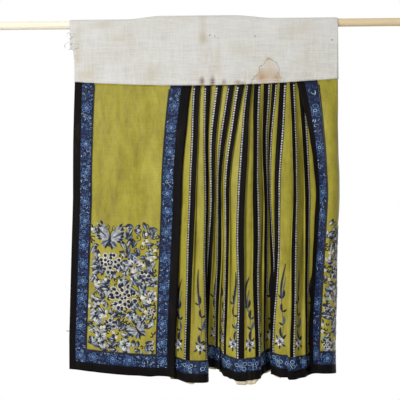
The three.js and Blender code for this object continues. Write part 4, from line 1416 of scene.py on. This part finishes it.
# Each stain: x, z, half width, half height, colour and strength
STAINS = [
    (4, -146, 7, 12, (124, 88, 60), 0.85),
    (30, -146, 7, 13, (114, 76, 48), 0.9),
    (58, -149, 6, 8, (140, 108, 78), 0.7),
    (92, -150, 7, 7, (146, 116, 86), 0.65),
    (104, -152, 9, 6, (154, 126, 96), 0.55),
    (152, -136, 13, 17, (160, 124, 84), 0.85),
    (170, -132, 28, 22, (180, 156, 122), 0.7),
    (190, -138, 11, 13, (166, 134, 98), 0.75),
    (168, -96, 14, 12, (190, 180, 160), 0.5),
    (7, 0, 11, 34, (178, 166, 146), 0.42),
    (8, -40, 10, 16, (172, 154, 126), 0.55),
    (44, -90, 8, 46, (190, 182, 164), 0.45),
    (24, -30, 2, 3, (96, 88, 76), 0.7),
    (36, -33, 2, 3, (104, 94, 80), 0.6),
    (137, -34, 1.8, 2, (110, 92, 70), 0.7),
    (328, -45, 2.6, 2.4, (100, 80, 60), 0.8),
    (-244, -2, 34, 9, (180, 168, 146), 0.4),
    (-205, -36, 44, 12, (186, 176, 158), 0.3),
    (-304, -74, 10, 30, (182, 168, 140), 0.45),
    (-302, -20, 8, 24, (188, 176, 152), 0.35),
    (-120, -124, 22, 24, (188, 178, 158), 0.45),
    (-286, -128, 22, 18, (188, 176, 154), 0.5),
    (96, -70, 30, 24, (190, 182, 166), 0.35),
    (250, -20, 50, 14, (190, 180, 160), 0.4),
    (262, -96, 30, 20, (190, 182, 166), 0.35),
]
RIMMED = (171, -144, 39, 47)
RIM_NARROWS = 0.011
RIM = (138, 112, 84)
wander = noise(band_cotton, place(band_cotton), 34, detail=4)
split = node(band_cotton, "SeparateXYZ", {"Vector": place(band_cotton)})
over_rod = combined(band_cotton, "MAXIMUM", split.outputs["Z"], 0.0)
layer = combined(band_cotton, "SUBTRACT", split.outputs["Y"], over_rod)
behind = node(
    band_cotton, "MapRange", {"Value": layer, "From Min": -0.0122, "From Max": -0.0118, "To Max": 9.0}
).outputs["Result"]


STAIN_UNEVEN = 1.3
RIM_UNEVEN = 1.5


def stain_distance(x, z, wide, high, uneven, narrows=0.0):
    """How far a point lies from a stain's middle, as a share of the stain's size, with a wandering edge"""
    squares = []
    above = combined(band_cotton, "SUBTRACT", split.outputs["Z"], z * MM)
    for axis, centre, half in (("X", x, wide), ("Z", z, high)):
        off = combined(band_cotton, "SUBTRACT", split.outputs[axis], centre * MM)
        share = combined(band_cotton, "DIVIDE", off, half * MM)
        if axis == "X" and narrows:
            narrower = combined(band_cotton, "MULTIPLY", above, narrows / MM)
            narrower = combined(band_cotton, "ADD", narrower, 1.0)
            share = combined(band_cotton, "MULTIPLY", share, narrower)
        squares.append(combined(band_cotton, "MULTIPLY", share, share))
    away = combined(band_cotton, "SQRT", combined(band_cotton, "ADD", *squares))
    away = combined(band_cotton, "ADD", away, behind)
    shift = combined(band_cotton, "MULTIPLY", combined(band_cotton, "SUBTRACT", wander, 0.5), uneven)
    return combined(band_cotton, "ADD", away, shift)


for x, z, wide, high, colour, strength in STAINS:
    stained = ranged(band_cotton, stain_distance(x, z, wide, high, STAIN_UNEVEN), 1.35, 0.2)
    stained = combined(band_cotton, "MULTIPLY", stained, strength)
    band_colour = blended(band_cotton, stained, band_colour, colour)
off_rim = combined(band_cotton, "SUBTRACT", stain_distance(*RIMMED, RIM_UNEVEN, RIM_NARROWS), 1.0)
off_rim = combined(band_cotton, "ABSOLUTE", off_rim)
on_rim = combined(band_cotton, "MULTIPLY", ranged(band_cotton, off_rim, 0.07, 0.01), 0.6)
paint(band_cotton, blended(band_cotton, on_rim, band_colour, RIM))
weave(band_cotton, 900, 0.0004, 0.8)

band_points, face_row = band_grid()
band = Band(band_points)
whole_band = [(0, band_points.shape[1] - 1, 0, band_points.shape[0] - 1)]
band_piece = cloth_piece(
    "cotton_band", band, whole_band, band_cotton, "cotton", thick=0.9, nodes=["waistband"],
)
band_round = float(np.linalg.norm(np.diff(band_points[-1], axis=0), axis=1).sum())
band_face = Band(band_points[face_row:])
STITCH_STEP = 5
cotton_thread = {"white": thread_material("cotton_thread", (226, 225, 220))}
band_stitches = Threads(band_face, 0.5)
for reach in np.arange(6, band_round / MM - 6, STITCH_STEP):
    for height in (3.5, 9):
        stitch = [(reach, height), (reach + 1.6, height + 0.1), (reach + 3.2, height)]
        band_stitches.stroke(stitch, (0.5, 0.8, 0.5), "white", rise=0.25)
band_stitches.finish("band_stitches", cotton_thread, "cotton")

# The two button loops
#
# White cotton thread, worked over and sewn to the band's left end by both legs. When the skirt is worn they
# slip over a button or toggle at the other end of the wrap.
LOOP_RADIUS = 0.9
LOOP_OFF_BAND = 1.0
LOOPS = [
    ("upper", -311, -332, -21, -33),
    ("lower", -304, -337, -45, -63),
]


def thread_tube(points, radius, sides=10):
    """A thread along points, rounded between them, with closed ends"""
    line = flowing(points, 6)
    way = np.gradient(line, axis=0)
    way /= np.linalg.norm(way, axis=1, keepdims=True)
    across = np.array([0, -1.0, 0])
    vertices, faces = [], []
    for k, (centre, along_thread) in enumerate(zip(line, way)):
        side = np.cross(along_thread, across)
        swell = radius * (1 + 0.12 * math.sin(k * 2.1))
        for j in range(sides):
            a = 2 * math.pi * j / sides
            vertices.append((centre + swell * (math.cos(a) * across + math.sin(a) * side)) * MM)
    for k in range(len(line) - 1):
        for j in range(sides):
            n = (j + 1) % sides
            faces.append((k * sides + j, k * sides + n, (k + 1) * sides + n, (k + 1) * sides + j))
    faces.append(tuple(range(sides))[::-1])
    faces.append(tuple(range((len(line) - 1) * sides, len(line) * sides)))
    return vertices, faces


for name, root, tip, top, bottom in LOOPS:
    face_at = BAND_AXIS + float(band_spread(bottom)) + LOOP_RADIUS + LOOP_OFF_BAND
    middle, half = (top + bottom) / 2, (top - bottom) / 2
    leg = [(root, 0.5), (root - 8, 0.7), (tip + half, 1), (tip + half * 0.3, 0.65)]
    path = [(x, -face_at, middle + half * share) for x, share in leg]
    path += [(tip, -face_at, middle)]
    path += [(x, -face_at, middle - half * share) for x, share in reversed(leg)]
    tube = thread_tube(path, LOOP_RADIUS * 0.9)
    loop = new_piece(f"button_loop_{name}", *tube, cotton_thread["white"], "cotton")
    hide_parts(f"loop_{name}")

# A loose thread end
#
# Black sewing silk that has worked out of the left binding, low on the first panel, and sticks out a few
# millimetres past its edge.
loose_path = [(-327, -15.5, -763), (-332, -16.5, -762), (-336, -16, -763), (-339, -16.5, -760)]
new_piece("loose_thread", *thread_tube(loose_path, 0.7), silks["umber"], "black_satin")

# The studio
#
# A pale floor below the hanging skirt, white surroundings that dim towards the front, and large soft lights.
# The camera looks level at the middle of the skirt.
FLOOR_HEIGHT = -1.25
FLOOR_SIZE = 1.2
PICTURE_CENTRE = (-0.0044, -0.44)
CAMERA_DISTANCE = 2.6
CAMERA_LENS = 93.6
CAMERA_ROLL = 0.01
BEHIND_CAMERA = 0.28

floor_mesh = bpy.data.meshes.new("studio_floor")
floor_ways = ((-1, -1), (1, -1), (1, 1), (-1, 1))
floor_corners = [(x * FLOOR_SIZE, y * FLOOR_SIZE, FLOOR_HEIGHT) for x, y in floor_ways]
floor_mesh.from_pydata(floor_corners, [], [(0, 1, 2, 3)])
floor = bpy.data.objects.new("studio_floor", floor_mesh)
bpy.context.scene.collection.objects.link(floor)
floor_mesh.materials.append(new_material("floor_paint", (244, 244, 242), 0.9))

world = bpy.data.worlds.new("white_surroundings")
bpy.context.scene.world = world
world.use_nodes = True
background = world.node_tree.nodes["Background"]
background.inputs["Color"].default_value = (1, 1, 1, 1)
sky = world.node_tree.nodes
towards = sky.new("ShaderNodeSeparateXYZ")
world.node_tree.links.new(sky.new("ShaderNodeTexCoord").outputs["Generated"], towards.inputs["Vector"])
bright = sky.new("ShaderNodeMapRange")
for key, value in (("From Min", -0.3), ("From Max", 0.7), ("To Min", BEHIND_CAMERA), ("To Max", 1.0)):
    bright.inputs[key].default_value = value
world.node_tree.links.new(towards.outputs["Y"], bright.inputs["Value"])
world.node_tree.links.new(bright.outputs["Result"], background.inputs["Strength"])


def soft_light(name, at, turned_to, size, power):
    data = bpy.data.lights.new(name, "AREA")
    data.size = size
    data.energy = power
    light = bpy.data.objects.new(name, data)
    bpy.context.scene.collection.objects.link(light)
    light.location = at
    aim = np.array(turned_to) - np.array(at)
    light.rotation_euler = (math.atan2(math.hypot(aim[0], aim[1]), -aim[2]), 0, math.atan2(-aim[0], aim[1]))


soft_light("key_light", (-1.9, -3.0, 1.0), (0, 0, -0.45), 1.0, 126)
soft_light("fill_light", (1.2, -2.2, 0.2), (0.1, 0, -0.5), 1.2, 9)

camera_data = bpy.data.cameras.new("camera")
camera_data.lens = CAMERA_LENS
camera_data.sensor_width = 36
camera = bpy.data.objects.new("camera", camera_data)
bpy.context.scene.collection.objects.link(camera)
camera.location = (PICTURE_CENTRE[0], -CAMERA_DISTANCE, PICTURE_CENTRE[1])
camera.rotation_euler = (math.pi / 2, CAMERA_ROLL, 0)
bpy.context.scene.camera = camera
bpy.context.scene.view_settings.view_transform = "Standard"
